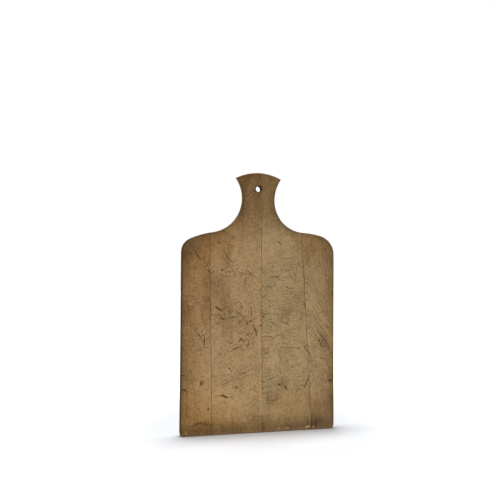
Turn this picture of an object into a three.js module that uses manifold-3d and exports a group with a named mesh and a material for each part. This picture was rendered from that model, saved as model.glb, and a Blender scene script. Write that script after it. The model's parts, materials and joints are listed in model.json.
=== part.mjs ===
// A bread board with a waisted handle, edge glued from four staves and dowelled across each joint.
// Millimetres, +Z up. The board stands on its foot with its cutting face towards -Y.
// The origin is at the middle of the foot.
import * as THREE from 'three';
import { mergeVertices } from 'three/addons/utils/BufferGeometryUtils.js';
import Module from 'manifold-3d';

// Board
const THICKNESS = 15;
const BODY_WIDTH = 257.2;
const FOOT_CORNER_RADIUS = 4;
const ARRIS_RADIUS = 2;

// The two sides were sawn by eye, so each has its own shoulder.
const LEFT_SIDE_LEAN = 0.55; // degrees, inwards. The right side is plumb.
const LEFT_CORNER_RADIUS = 23.5;
const RIGHT_CORNER_RADIUS = 32.5;
const LEFT_CROWN_RADIUS = 132; // the slow curve along the top of the shoulder
const RIGHT_CROWN_RADIUS = 140;
const LEFT_SHOULDER_SLOPE = 7.3; // degrees, where the crown turns into the hollow of the neck
const RIGHT_SHOULDER_SLOPE = 3.6;

// Handle
const NECK_HEIGHT = 380; // foot to the narrowest place
const LEFT_NECK_RISE = 3;
const RIGHT_NECK_RISE = -1.5;
const NECK_WIDTH = 52.3;
const NECK_OFFSET = 0.5; // to the right of the foot's middle
const LEFT_NECK_RADIUS = 56.5;
const RIGHT_NECK_RADIUS = 52.2;
const LEFT_FLARE_RADIUS = 57;
const RIGHT_FLARE_RADIUS = 62;
const HEAD_LENGTH = 43.8; // narrowest place to the top of the arch
const ARCH_RADIUS = 79.6;
const ARCH_OFFSET = -1.5;

// Hanging hole
const HOLE_DIAMETER = 10;
const HOLE_BELOW_TOP = 26.2;
const HOLE_OFFSET = 0;
const HOLE_EASE = 1; // worn round at both faces

// Edge joints: where each meets the foot, and its lean to the left in degrees
const LEFT_JOINT_FOOT = -77.5;
const LEFT_JOINT_LEAN = 0.55;
const MIDDLE_JOINT_FOOT = 6;
const MIDDLE_JOINT_LEAN = 0.3;
const RIGHT_JOINT_FOOT = 89.9;
const RIGHT_JOINT_LEAN = 3.05;
const GLUE_LINE = 0.3;

// Dowels
const DOWEL_DIAMETER = 8;
const DOWEL_LENGTH = 48;
const NECK_DOWEL_LENGTH = 32;
const DOWEL_CHAMFER = 1.2;
const DOWEL_CLEARANCE = 0.3;
const DOWELS_PER_JOINT = 3;
const FIRST_DOWEL_HEIGHT = 50;
const DOWEL_PITCH = 110;
const NECK_DOWEL_BELOW_NECK = 32;

// Facets
const ARC_STEP = 6; // degrees
const FOOT_ARC_STEP = 18;
const CROWN_ARC_STEP = 3;
const ARRIS_STEPS = 3;
const HOLE_SIDES = 32;
const DOWEL_SIDES = 20;

// Colours
const LEFT_WOOD = 0x8c6c46;
const LEFT_CENTRE_WOOD = 0x987a55;
const RIGHT_CENTRE_WOOD = 0x987d5b;
const RIGHT_WOOD = 0x8c714f;
const DOWEL_WOOD = 0xb59468;
const STAVE_ROUGHNESS = 0.7;
const DOWEL_ROUGHNESS = 0.8;

const { cos, sin, tan } = Math;
const radians = THREE.MathUtils.degToRad;
const topHeight = NECK_HEIGHT + HEAD_LENGTH;

const wasm = await Module();
wasm.setup();

// A three.js geometry as a solid that can be cut.
function solidOf(geometry) {
  const bare = geometry.clone();
  bare.deleteAttribute('normal');
  bare.deleteAttribute('uv');
  const merged = mergeVertices(bare, 1e-4);
  return new wasm.Manifold(new wasm.Mesh({
    numProp: 3,
    vertProperties: new Float32Array(merged.attributes.position.array),
    triVerts: new Uint32Array(merged.index.array),
  }));
}

// The solid back as a three.js geometry.
function geometryOf(solid) {
  const mesh = solid.getMesh();
  const geometry = new THREE.BufferGeometry();
  geometry.setAttribute('position', new THREE.BufferAttribute(mesh.vertProperties, 3));
  geometry.setIndex(new THREE.BufferAttribute(mesh.triVerts, 1));
  geometry.computeVertexNormals();
  return geometry;
}

// Points on an arc, from one angle to another in degrees.
function arc(centre, radius, from, to, step = ARC_STEP) {
  const count = Math.max(1, Math.ceil(Math.abs(to - from) / step));
  return Array.from({ length: count + 1 }, (_, i) => {
    const angle = radians(from + ((to - from) * i) / count);
    return new THREE.Vector2(centre.x + radius * cos(angle), centre.y + radius * sin(angle));
  });
}

// One side of the board from the foot to the corner of the arched top, with x measured outwards:
// foot corner, leaning side, shoulder corner, crowned shoulder, hollow neck and flared head.
function sideOutline({ side, lean, cornerRadius, crownRadius, slope, neckRise, neckRadius, flareRadius }) {
  const neckX = NECK_WIDTH / 2 + side * NECK_OFFSET;
  const neckHeight = NECK_HEIGHT + neckRise;
  const footCentre = new THREE.Vector2(BODY_WIDTH / 2 - FOOT_CORNER_RADIUS, FOOT_CORNER_RADIUS);
  const sideNormal = new THREE.Vector2(cos(radians(lean)), sin(radians(lean)));
  const shoulderNormal = new THREE.Vector2(sin(radians(slope)), cos(radians(slope)));

  // The crown runs on from the hollow of the neck, and the corner touches the crown and the side.
  const hollowCentre = new THREE.Vector2(neckX + neckRadius, neckHeight);
  const crownCentre = hollowCentre.clone().addScaledVector(shoulderNormal, -neckRadius - crownRadius);
  const sideReach = sideNormal.dot(footCentre) + FOOT_CORNER_RADIUS - cornerRadius;
  const inset = (sideReach - sideNormal.dot(crownCentre)) / (crownRadius - cornerRadius);
  const cornerEnd = lean + THREE.MathUtils.radToDeg(Math.acos(inset));
  const cornerWay = new THREE.Vector2(cos(radians(cornerEnd)), sin(radians(cornerEnd)));
  const cornerCentre = crownCentre.clone().addScaledVector(cornerWay, crownRadius - cornerRadius);

  // The flare ends where its circle meets the arch of the top.
  const flareCentre = new THREE.Vector2(neckX + flareRadius, neckHeight);
  const archCentre = new THREE.Vector2(side * ARCH_OFFSET, topHeight - ARCH_RADIUS);
  const between = flareCentre.clone().sub(archCentre);
  const distance = between.length();
  const along = (ARCH_RADIUS ** 2 - flareRadius ** 2 + distance ** 2) / (2 * distance);
  const across = Math.sqrt(ARCH_RADIUS ** 2 - along ** 2);
  const unit = between.divideScalar(distance);
  const headCorner = new THREE.Vector2(
    archCentre.x + along * unit.x - across * unit.y,
    archCentre.y + along * unit.y + across * unit.x,
  );
  const toCorner = headCorner.clone().sub(flareCentre);
  const flareEnd = THREE.MathUtils.radToDeg(Math.atan2(toCorner.y, toCorner.x));

  return [
    ...arc(footCentre, FOOT_CORNER_RADIUS, -90, lean, FOOT_ARC_STEP),
    ...arc(cornerCentre, cornerRadius, lean, cornerEnd),
    ...arc(crownCentre, crownRadius, cornerEnd, 90 - slope, CROWN_ARC_STEP).slice(1),
    ...arc(hollowCentre, neckRadius, 270 - slope, 180).slice(1),
    ...arc(flareCentre, flareRadius, 180, flareEnd).slice(1),
  ];
}

// The whole outline, counterclockwise as seen from the front.
function boardOutline() {
  const right = sideOutline({
    side: 1,
    lean: 0,
    cornerRadius: RIGHT_CORNER_RADIUS,
    crownRadius: RIGHT_CROWN_RADIUS,
    slope: RIGHT_SHOULDER_SLOPE,
    neckRise: RIGHT_NECK_RISE,
    neckRadius: RIGHT_NECK_RADIUS,
    flareRadius: RIGHT_FLARE_RADIUS,
  });
  const left = sideOutline({
    side: -1,
    lean: LEFT_SIDE_LEAN,
    cornerRadius: LEFT_CORNER_RADIUS,
    crownRadius: LEFT_CROWN_RADIUS,
    slope: LEFT_SHOULDER_SLOPE,
    neckRise: LEFT_NECK_RISE,
    neckRadius: LEFT_NECK_RADIUS,
    flareRadius: LEFT_FLARE_RADIUS,
  }).map((point) => new THREE.Vector2(-point.x, point.y)).reverse();

  const archCentre = new THREE.Vector2(ARCH_OFFSET, topHeight - ARCH_RADIUS);
  const bearing = (point) => {
    const arm = point.clone().sub(archCentre);
    return THREE.MathUtils.radToDeg(arm.angle());
  };
  const top = arc(archCentre, ARCH_RADIUS, bearing(right.at(-1)), bearing(left[0])).slice(1, -1);
  return new THREE.Shape([...right, ...top, ...left]);
}

// Stands a flat shape up in the board's plane, centred on the thickness.
function standUp(shape, depth, bevel = 0) {
  const geometry = new THREE.ExtrudeGeometry(shape, {
    depth: depth - 2 * bevel,
    bevelEnabled: bevel > 0,
    bevelThickness: bevel,
    bevelSize: bevel,
    bevelOffset: -bevel,
    bevelSegments: ARRIS_STEPS,
  });
  geometry.translate(0, 0, bevel - depth / 2);
  geometry.rotateX(Math.PI / 2);
  return geometry;
}

// The drill for the hanging hole, opened out at both faces as wear has left it.
function hangingHole() {
  const radius = HOLE_DIAMETER / 2;
  const face = THICKNESS / 2;
  const lip = HOLE_EASE * (1 - Math.SQRT1_2);
  const mouth = [
    new THREE.Vector2(radius, face - HOLE_EASE),
    new THREE.Vector2(radius + lip, face - lip),
    new THREE.Vector2(radius + HOLE_EASE, face),
    new THREE.Vector2(radius + HOLE_EASE, face + HOLE_EASE),
  ];
  const below = mouth.map((point) => new THREE.Vector2(point.x, -point.y)).reverse();
  const profile = [
    new THREE.Vector2(0, -face - HOLE_EASE),
    ...below,
    ...mouth,
    new THREE.Vector2(0, face + HOLE_EASE),
  ];
  const geometry = new THREE.LatheGeometry(profile, HOLE_SIDES);
  geometry.translate(HOLE_OFFSET, 0, topHeight - HOLE_BELOW_TOP);
  return solidOf(geometry);
}

// A peg on the Y axis with chamfered ends. The bore for it is the same peg with its clearance.
function peg(length, clearance = 0) {
  const radius = DOWEL_DIAMETER / 2 + clearance;
  const half = length / 2 + clearance;
  return new THREE.LatheGeometry([
    new THREE.Vector2(0, -half),
    new THREE.Vector2(radius - DOWEL_CHAMFER, -half),
    new THREE.Vector2(radius, -half + DOWEL_CHAMFER),
    new THREE.Vector2(radius, half - DOWEL_CHAMFER),
    new THREE.Vector2(radius - DOWEL_CHAMFER, half),
    new THREE.Vector2(0, half),
  ], DOWEL_SIDES);
}

// Edge joints
const joints = {
  left: { foot: LEFT_JOINT_FOOT, lean: radians(LEFT_JOINT_LEAN) },
  middle: { foot: MIDDLE_JOINT_FOOT, lean: radians(MIDDLE_JOINT_LEAN) },
  right: { foot: RIGHT_JOINT_FOOT, lean: radians(RIGHT_JOINT_LEAN) },
};

function jointX(joint, height) {
  return joint.foot - height * tan(joint.lean);
}

// Each dowel lies square across its joint.
function dowelAt(name, joint, height, length) {
  return { name, joint, height, length };
}

const dowels = Object.entries(joints).flatMap(([side, joint]) => (
  Array.from({ length: DOWELS_PER_JOINT }, (_, i) => (
    dowelAt(`${side}_dowel_${i + 1}`, joint, FIRST_DOWEL_HEIGHT + i * DOWEL_PITCH, DOWEL_LENGTH)
  ))
));
dowels.push(dowelAt('neck_dowel', joints.middle, NECK_HEIGHT - NECK_DOWEL_BELOW_NECK, NECK_DOWEL_LENGTH));

function placeDowel(object, { joint, height }) {
  object.position.set(jointX(joint, height), 0, height);
  object.rotation.set(0, -joint.lean, -Math.PI / 2);
  object.updateMatrix();
}

// Staves: the strips of one blank between the glue lines, with the hole and the dowel bores cut out.
const blank = solidOf(standUp(boardOutline(), THICKNESS, ARRIS_RADIUS));
const hole = hangingHole();
const bores = dowels.map((dowel) => {
  const place = new THREE.Object3D();
  placeDowel(place, dowel);
  return solidOf(peg(dowel.length, DOWEL_CLEARANCE).applyMatrix4(place.matrix));
});

// A strip reaches past the blank where it has no joint.
function strip(leftJoint, rightJoint) {
  const past = THICKNESS;
  const low = -past;
  const high = topHeight + past;
  const outside = BODY_WIDTH / 2 + past;
  const edge = (joint, height, side) => (
    joint ? jointX(joint, height) - (side * GLUE_LINE) / 2 / cos(joint.lean) : side * outside
  );
  const shape = new THREE.Shape([
    new THREE.Vector2(edge(leftJoint, low, -1), low),
    new THREE.Vector2(edge(rightJoint, low, 1), low),
    new THREE.Vector2(edge(rightJoint, high, 1), high),
    new THREE.Vector2(edge(leftJoint, high, -1), high),
  ]);
  return solidOf(standUp(shape, THICKNESS + 2 * past));
}

function stave(name, leftJoint, rightJoint, color) {
  let solid = blank.intersect(strip(leftJoint, rightJoint)).subtract(hole);
  bores.forEach((bore) => {
    solid = solid.subtract(bore);
  });
  const material = new THREE.MeshStandardMaterial({ color, roughness: STAVE_ROUGHNESS, metalness: 0 });
  const mesh = new THREE.Mesh(geometryOf(solid), material);
  mesh.name = name;
  return mesh;
}

function dowelMesh(dowel) {
  const material = new THREE.MeshStandardMaterial({
    color: DOWEL_WOOD,
    roughness: DOWEL_ROUGHNESS,
    metalness: 0,
  });
  const mesh = new THREE.Mesh(peg(dowel.length), material);
  mesh.name = dowel.name;
  placeDowel(mesh, dowel);
  return mesh;
}

const board = new THREE.Group();
board.name = 'bread_board';
board.add(
  stave('left_stave', null, joints.left, LEFT_WOOD),
  stave('left_centre_stave', joints.left, joints.middle, LEFT_CENTRE_WOOD),
  stave('right_centre_stave', joints.middle, joints.right, RIGHT_CENTRE_WOOD),
  stave('right_stave', joints.right, null, RIGHT_WOOD),
  ...dowels.map(dowelMesh),
);

export default board;
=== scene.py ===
# %% [markdown]
# # A worn bread board
# The board is four wooden staves, glued edge to edge over hidden dowels. Years of bread knives have left it
# scarred and scrubbed pale in the middle, and it is darker on the handle and round the edges, where the dark
# rim is dirt and painted shade. The solids come in as a fixed frame. This lesson keeps their sizes and
# places, and gives them worn surfaces and an aged finish.

# %% Load the frame
import json
from collections import namedtuple
from math import cos, pi, radians, sin

import bmesh
import bpy
import numpy as np
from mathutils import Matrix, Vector, noise
from mathutils.geometry import delaunay_2d_cdt


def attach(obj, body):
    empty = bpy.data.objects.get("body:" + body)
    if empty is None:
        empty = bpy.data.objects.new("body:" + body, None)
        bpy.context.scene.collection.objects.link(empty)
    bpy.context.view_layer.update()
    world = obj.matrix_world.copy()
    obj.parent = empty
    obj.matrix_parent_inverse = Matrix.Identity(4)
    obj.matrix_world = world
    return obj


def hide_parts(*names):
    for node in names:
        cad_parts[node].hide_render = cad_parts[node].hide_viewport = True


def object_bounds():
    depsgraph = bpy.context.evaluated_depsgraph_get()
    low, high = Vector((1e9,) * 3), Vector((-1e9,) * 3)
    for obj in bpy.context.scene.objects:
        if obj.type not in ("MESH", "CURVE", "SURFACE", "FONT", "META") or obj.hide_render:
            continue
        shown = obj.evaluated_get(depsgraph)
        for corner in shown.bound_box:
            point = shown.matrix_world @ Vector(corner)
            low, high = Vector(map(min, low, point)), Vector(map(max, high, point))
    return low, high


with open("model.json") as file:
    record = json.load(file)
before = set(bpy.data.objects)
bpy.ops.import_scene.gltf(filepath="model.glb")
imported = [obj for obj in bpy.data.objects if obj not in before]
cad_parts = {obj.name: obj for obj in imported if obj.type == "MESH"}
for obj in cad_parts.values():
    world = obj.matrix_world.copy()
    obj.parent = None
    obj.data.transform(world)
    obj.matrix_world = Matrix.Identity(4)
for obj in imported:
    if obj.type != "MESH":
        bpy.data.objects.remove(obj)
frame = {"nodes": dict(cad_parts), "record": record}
cad_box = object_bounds()
STAVES = ("left_stave", "left_centre_stave", "right_centre_stave", "right_stave")
DOWELS = sorted(name for name in frame["nodes"] if "dowel" in name)
MM = 0.001
FRONT_Y = cad_box[0].y / MM
BACK_Y = cad_box[1].y / MM
print("staves:", len(STAVES), "dowels:", len(DOWELS), "face at y", round(FRONT_Y, 2), "mm")

# %% [markdown]
# ## The camera
# The picture was taken from a little to the left of the board, with a level camera. A level camera keeps the
# upright edges upright, so no lens shift is needed: one turn about the vertical is enough. The focal length
# is worked out from how much the far side shrinks.

# %% Stand the camera where the picture was taken from
PICTURE_SIDE = 500
FOCAL_PIXELS = 681.4
SENSOR_WIDTH = 36.0
CAMERA_TURN = radians(12.3)
CAMERA_PLACE = Vector((-250.9, -1090.0, 298.1)) * MM

lens = bpy.data.cameras.new("camera")
lens.sensor_width = SENSOR_WIDTH
lens.lens = SENSOR_WIDTH * FOCAL_PIXELS / PICTURE_SIDE
camera = bpy.data.objects.new("camera", lens)
camera.location = CAMERA_PLACE
camera.rotation_euler = (pi / 2, 0, -CAMERA_TURN)
bpy.context.scene.collection.objects.link(camera)
bpy.context.scene.camera = camera


def on_face(pixel):
    """The point of the cutting face, across and up in millimetres, behind a pixel of the picture."""
    across = (pixel[0] - PICTURE_SIDE / 2) / FOCAL_PIXELS
    rise = (PICTURE_SIDE / 2 - pixel[1]) / FOCAL_PIXELS
    ahead = cos(CAMERA_TURN) - across * sin(CAMERA_TURN)
    sideways = sin(CAMERA_TURN) + across * cos(CAMERA_TURN)
    reach = FRONT_Y - CAMERA_PLACE.y / MM
    return np.array(
        (
            CAMERA_PLACE.x / MM + reach * sideways / ahead,
            CAMERA_PLACE.z / MM + reach * rise / ahead,
        )
    )


print("lens", round(lens.lens, 2), "mm; middle of the picture on the board:", on_face((250, 250)).round(1))

# %% [markdown]
# ## The outline of each stave
# The worn surface is modelled as fine triangles inside the outline of each stave. The outline could be drawn
# again from its sizes, but a slice through the solid gives the same line and can't fall out of step with it.
# The slice lies below the rounded arris and above the dowel bores.

# %% Slice the solids
SLICE_BELOW_FACE = 2.5
STRAIGHT = 0.01
WELD = 1e-6


def slice_of(node):
    """The outline of a stave's solid, anticlockwise, as points across and up in millimetres."""
    solid = bmesh.new()
    solid.from_mesh(frame["nodes"][node].data)
    bmesh.ops.remove_doubles(solid, verts=solid.verts, dist=WELD)
    everything = solid.verts[:] + solid.edges[:] + solid.faces[:]
    height = (FRONT_Y + SLICE_BELOW_FACE) * MM
    cut = bmesh.ops.bisect_plane(solid, geom=everything, plane_co=(0, height, 0), plane_no=(0, 1, 0))
    joined = {}
    for edge in (part for part in cut["geom_cut"] if isinstance(part, bmesh.types.BMEdge)):
        first, second = edge.verts
        joined.setdefault(first, []).append(second)
        joined.setdefault(second, []).append(first)
    loop = [next(iter(joined))]
    while True:
        ahead = [vert for vert in joined[loop[-1]] if vert not in loop[-2:]]
        if not ahead or ahead[0] is loop[0]:
            break
        loop.append(ahead[0])
    points = np.array([(vert.co.x, vert.co.z) for vert in loop]) / MM
    solid.free()
    return tidy_loop(points)


def tidy_loop(points):
    """Turns a loop anticlockwise and drops the points along its straight stretches."""
    after = np.roll(points, -1, axis=0)
    if (points[:, 0] * after[:, 1] - after[:, 0] * points[:, 1]).sum() < 0:
        points = points[::-1]
    before = points - np.roll(points, 1, axis=0)
    after = np.roll(points, -1, axis=0) - points
    turn = before[:, 0] * after[:, 1] - before[:, 1] * after[:, 0]
    turn /= np.linalg.norm(before, axis=1) * np.linalg.norm(after, axis=1)
    return points[np.abs(turn) > STRAIGHT]


slices = {name: slice_of(name) for name in STAVES}
for name, points in slices.items():
    print(name, "outline of", len(points), "points,", np.ptp(points, axis=0).round(1), "mm")

# %% [markdown]
# ## Which edge is which
# A stave has three kinds of edge: the outer edge, which hands and knocks have rounded; the glued joint, which
# is nearly sharp; and the hanging hole. A length of outline that has another stave right beside it is a
# joint. Distances to the edges are needed again later, so that helper comes first.

# %% Sort the edges
OUTER, JOINT, HOLE = KINDS = (0, 1, 2)
BESIDE = 0.6
HOLE_REACH = 7.0
FAR_AWAY = 1e6
AT_ONCE = 800
TINY = 1e-12
hole_box = np.array(frame["record"]["physics"]["openings"][0]["box_m"])
hole_middle = hole_box.mean(axis=0)[[0, 2]] / MM


def distance(points, starts, ends, share=False):
    """Each point's least distance to some straight lengths, and how far along them all it lies."""
    if len(starts) == 0:
        return np.full(len(points), FAR_AWAY)
    along = ends - starts
    squared = np.maximum((along**2).sum(axis=1), TINY)
    gaps, places = [], []
    for few in np.array_split(points, len(points) // AT_ONCE + 1):
        offset = few[:, None] - starts
        part = np.clip((offset * along).sum(axis=2) / squared, 0, 1)
        gap = np.linalg.norm(offset - part[..., None] * along, axis=2)
        nearest = gap.argmin(axis=1)
        rows = np.arange(len(few))
        gaps.append(gap[rows, nearest])
        places.append((nearest + part[rows, nearest]) / len(starts))
    gaps, places = np.concatenate(gaps), np.concatenate(places)
    return (gaps, places) if share else gaps


def kinds_of(name):
    """The kind of each length of a stave's outline."""
    starts = slices[name]
    middles = (starts + np.roll(starts, -1, axis=0)) / 2
    kinds = np.full(len(starts), OUTER)
    for other in STAVES:
        if other != name:
            line = slices[other]
            kinds[distance(middles, line, np.roll(line, -1, axis=0)) < BESIDE] = JOINT
    kinds[np.hypot(*(middles - hole_middle).T) < HOLE_REACH] = HOLE
    return kinds.tolist()


slice_kinds = {name: kinds_of(name) for name in STAVES}
print("lengths in a joint:", {name: kinds.count(JOINT) for name, kinds in slice_kinds.items()})

# %% [markdown]
# ## Steps along the edges
# Each edge is split into short steps, so that it can be worn, and the facets of the solid's curves are eased.
# Dried glue fills the joints of the real board, so both sides of a joint move out until only a hair-thin line
# is left between them. Knocks have rounded the corners at the foot, the right one most.

# %% Split the edges
EDGE_STEP = 2.0
ARRIS_STEPS = (0.08, 0.3, 0.7, 1.2, 1.8, 2.6)
JOINT_STEPS = (0.35, 0.9)
BESIDE_JOINT = 0.5
SHARP_TURN = 0.5
GLUE_FILL = 0.14
EASE_ROUNDS = 2
FOOT_CORNERS = {-1: 4.5, 1: 7.0}
Edge = namedtuple("Edge", "points kinds")


def stops_along(length, kind, before, after):
    """Where to split a length: evenly, and closely at the ends of a joint, where the arris crosses it."""
    count = max(1, round(length / EDGE_STEP))
    stops = [length * step / count for step in range(count)]
    if kind == OUTER and length > 3 * BESIDE_JOINT:
        stops += [BESIDE_JOINT] * (before == JOINT) + [length - BESIDE_JOINT] * (after == JOINT)
        stops.sort()
    if kind == JOINT and length > 4 * ARRIS_STEPS[-1]:
        inner = [stop for stop in stops if ARRIS_STEPS[-1] < stop < length - ARRIS_STEPS[-1]]
        ends = [length - step for step in reversed(ARRIS_STEPS)]
        stops = [0.0, *ARRIS_STEPS, *inner, *ends]
    return stops


def worn_corner(points, corner):
    """Rounds off a corner at the foot by an arc, as years of knocks do."""
    side = np.sign(corner[0])
    radius = FOOT_CORNERS[int(side)]
    middle = corner + radius * np.array((-side, 1.0))
    offset = points - middle
    beyond = (offset * (side, -1.0) > 0).all(axis=1)
    offset[beyond] *= np.minimum(1, radius / np.hypot(*offset[beyond].T))[:, None]
    return middle + offset


def split_edge(name):
    """The outline in short steps, with the facets of its curves eased."""
    starts, kinds = slices[name], slice_kinds[name]
    points, point_kinds, fixed = [], [], []
    for number, (start, kind) in enumerate(zip(starts, kinds)):
        along = starts[(number + 1) % len(starts)] - start
        back = start - starts[number - 1]
        length = np.hypot(*along)
        turn = (back[0] * along[1] - back[1] * along[0]) / np.hypot(*back) / length
        outward = np.array((along[1], -along[0])) / length
        after = kinds[(number + 1) % len(kinds)]
        for stop in stops_along(length, kind, kinds[number - 1], after):
            points.append(start + along * stop / length + outward * GLUE_FILL * (kind == JOINT))
            point_kinds.append(kind)
            fixed.append(kind != OUTER or (stop == 0 and abs(turn) > SHARP_TURN))
    points, point_kinds = np.array(points), np.array(point_kinds)
    free = ~(np.array(fixed) | (np.roll(point_kinds, 1) != OUTER))
    for _ in range(EASE_ROUNDS):
        eased = (np.roll(points, 1, axis=0) + np.roll(points, -1, axis=0)) / 2
        points[free] += (eased[free] - points[free]) / 2
    for corner in (cad_box[0].x, cad_box[1].x):
        points = worn_corner(points, np.array((corner, cad_box[0].z)) / MM)
    return Edge(points, point_kinds)


edges = {name: split_edge(name) for name in STAVES}
for name, edge in edges.items():
    print(name, "steps on the outer edge, joint and hole:", np.bincount(edge.kinds, minlength=len(KINDS)))

# %% [markdown]
# ## The marks of use
# The scars that catch the eye are placed one by one, each by its pixels in the picture and under its own
# name. A number says how strong it is. A knife cut is a narrow V, a gouge is a wide hollow, a peck is a small
# round pit, a pale mark is a place where the fibres stand up, and a water line is the dark rim that a puddle
# leaves. Painting them would be quicker, but real grooves also shade and hold dirt when they are seen from
# other sides. Two pale marks beside the right joint are a painted highlight on the raised edge of the right
# stave.

# %% Name the cuts on the left half
LEFT_CUTS = {
    "slash under the shoulder": (0.9, (195, 250.5), (197.5, 255), (200, 259.5)),
    "nick beside the slash": (0.6, (203.6, 258.5), (205, 261), (206.6, 264.8)),
    "dash on the shoulder": (0.4, (201.4, 239.6), (203.6, 240.8)),
    "tick by the joint": (0.55, (218.5, 243.3), (220.7, 241.9)),
    "dash under the neck": (0.7, (232.8, 237.2), (235.6, 238.4)),
    "tick under the dash": (0.55, (231.3, 247.4), (233.5, 246.2)),
    "start of the scrape": (0.4, (213, 244.2), (216.2, 246.6)),
    "upper edge of the scrape": (0.75, (223.8, 251.4), (226.6, 256), (230.4, 261), (233, 263.6)),
    "lower edge of the scrape": (0.6, (222.6, 257), (228.8, 264.6)),
    "curl by the middle joint": (0.75, (245.5, 270), (248.5, 271.3), (251.5, 274.2), (254.8, 277.4)),
    "second line of the curl": (0.55, (246.4, 271.6), (248.6, 273.6), (250.6, 275.2)),
    "level line by the curl": (0.35, (236.4, 273.7), (242.6, 273.4)),
    "faint tick": (0.35, (232, 273), (236, 276.5)),
    "smudge on the left stave": (0.35, (195.5, 283.4), (199.4, 284.6)),
    "short fall": (0.5, (238.8, 301.6), (240.4, 303.4), (242.5, 306)),
    "bow in the scarred patch": (0.65, (229, 310.4), (230.6, 314), (231.6, 317.6)),
    "long rising cut": (0.65, (225, 319.2), (230, 318), (236, 316.5), (241.4, 315.4)),
    "long falling cut": (0.7, (236.4, 310.4), (240.5, 314.5), (244, 318), (246.6, 321)),
    "upright cut": (0.85, (251.2, 308.6), (251.4, 313), (252, 319)),
    "foot of the upright cut": (0.55, (252.4, 320), (255.6, 318.6)),
    "tear beside the worm holes": (0.5, (235, 320.8), (237, 321.6), (239.4, 323.8)),
    "hook": (1.05, (252.9, 325.8), (255, 329), (256.2, 332.4), (256.4, 335.6)),
    "tail of the hook": (0.55, (256, 335.2), (253, 338), (250.4, 340)),
    "end of the tail": (0.8, (249.2, 341), (248.2, 344.4)),
    "left arm of the chevron": (1.2, (239.4, 341.6), (240.9, 338.2)),
    "right arm of the chevron": (1.2, (240.6, 338.5), (244.2, 341.4)),
    "small angle": (0.75, (228.2, 341.6), (229, 343.4), (231.6, 343.9)),
    "rising cut under the chevron": (0.85, (231.5, 351.7), (234, 349.3), (238, 347.5), (241.2, 346.7)),
    "its branch": (0.55, (240.4, 347.6), (243.4, 350.2)),
    "first faint slant": (0.6, (212.8, 327.2), (217.2, 324.4)),
    "second faint slant": (0.35, (215.6, 328.8), (221.2, 325.8)),
    "third faint slant": (0.5, (218.8, 323.2), (224.4, 320.4)),
    "fourth faint slant": (0.3, (223.6, 329.2), (228.4, 327.3)),
    "fifth faint slant": (0.45, (223.6, 333.2), (227.4, 331.4)),
    "wriggle on the left stave": (0.85, (196, 330.4), (198.6, 334), (200.6, 337), (202.6, 340.8)),
    "upright on the left stave": (0.95, (204.3, 335.8), (204.4, 345.8)),
    "foot of that upright": (0.6, (203.7, 347), (206.2, 347.5)),
    "tick on the left edge": (0.5, (183.4, 322.6), (184.6, 325.2)),
    "smudge by the left edge": (0.7, (187.4, 324.6), (190.4, 325.6)),
    "first line of the fan": (0.75, (222, 385.2), (227, 382.4), (231.4, 380.2)),
    "second line of the fan": (0.6, (220.6, 382.6), (226.4, 379.8)),
    "third line of the fan": (0.4, (225, 386.2), (230.6, 383.2)),
    "fourth line of the fan": (0.5, (234, 379), (240.4, 374.8)),
    "fifth line of the fan": (0.3, (236, 376.2), (242.6, 372.8)),
    "sixth line of the fan": (0.3, (218.6, 378.8), (224.6, 375.6)),
    "bruise, first stroke": (1.0, (201.7, 381.2), (200.6, 385.2)),
    "bruise, second stroke": (0.85, (203.7, 382.2), (202.4, 384.8)),
    "nick in the left edge": (0.9, (180.4, 375.6), (184.4, 376)),
    "stripe by the left edge": (0.5, (186.6, 408.6), (187, 413.4)),
}
print("cuts on the left half:", len(LEFT_CUTS))

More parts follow.
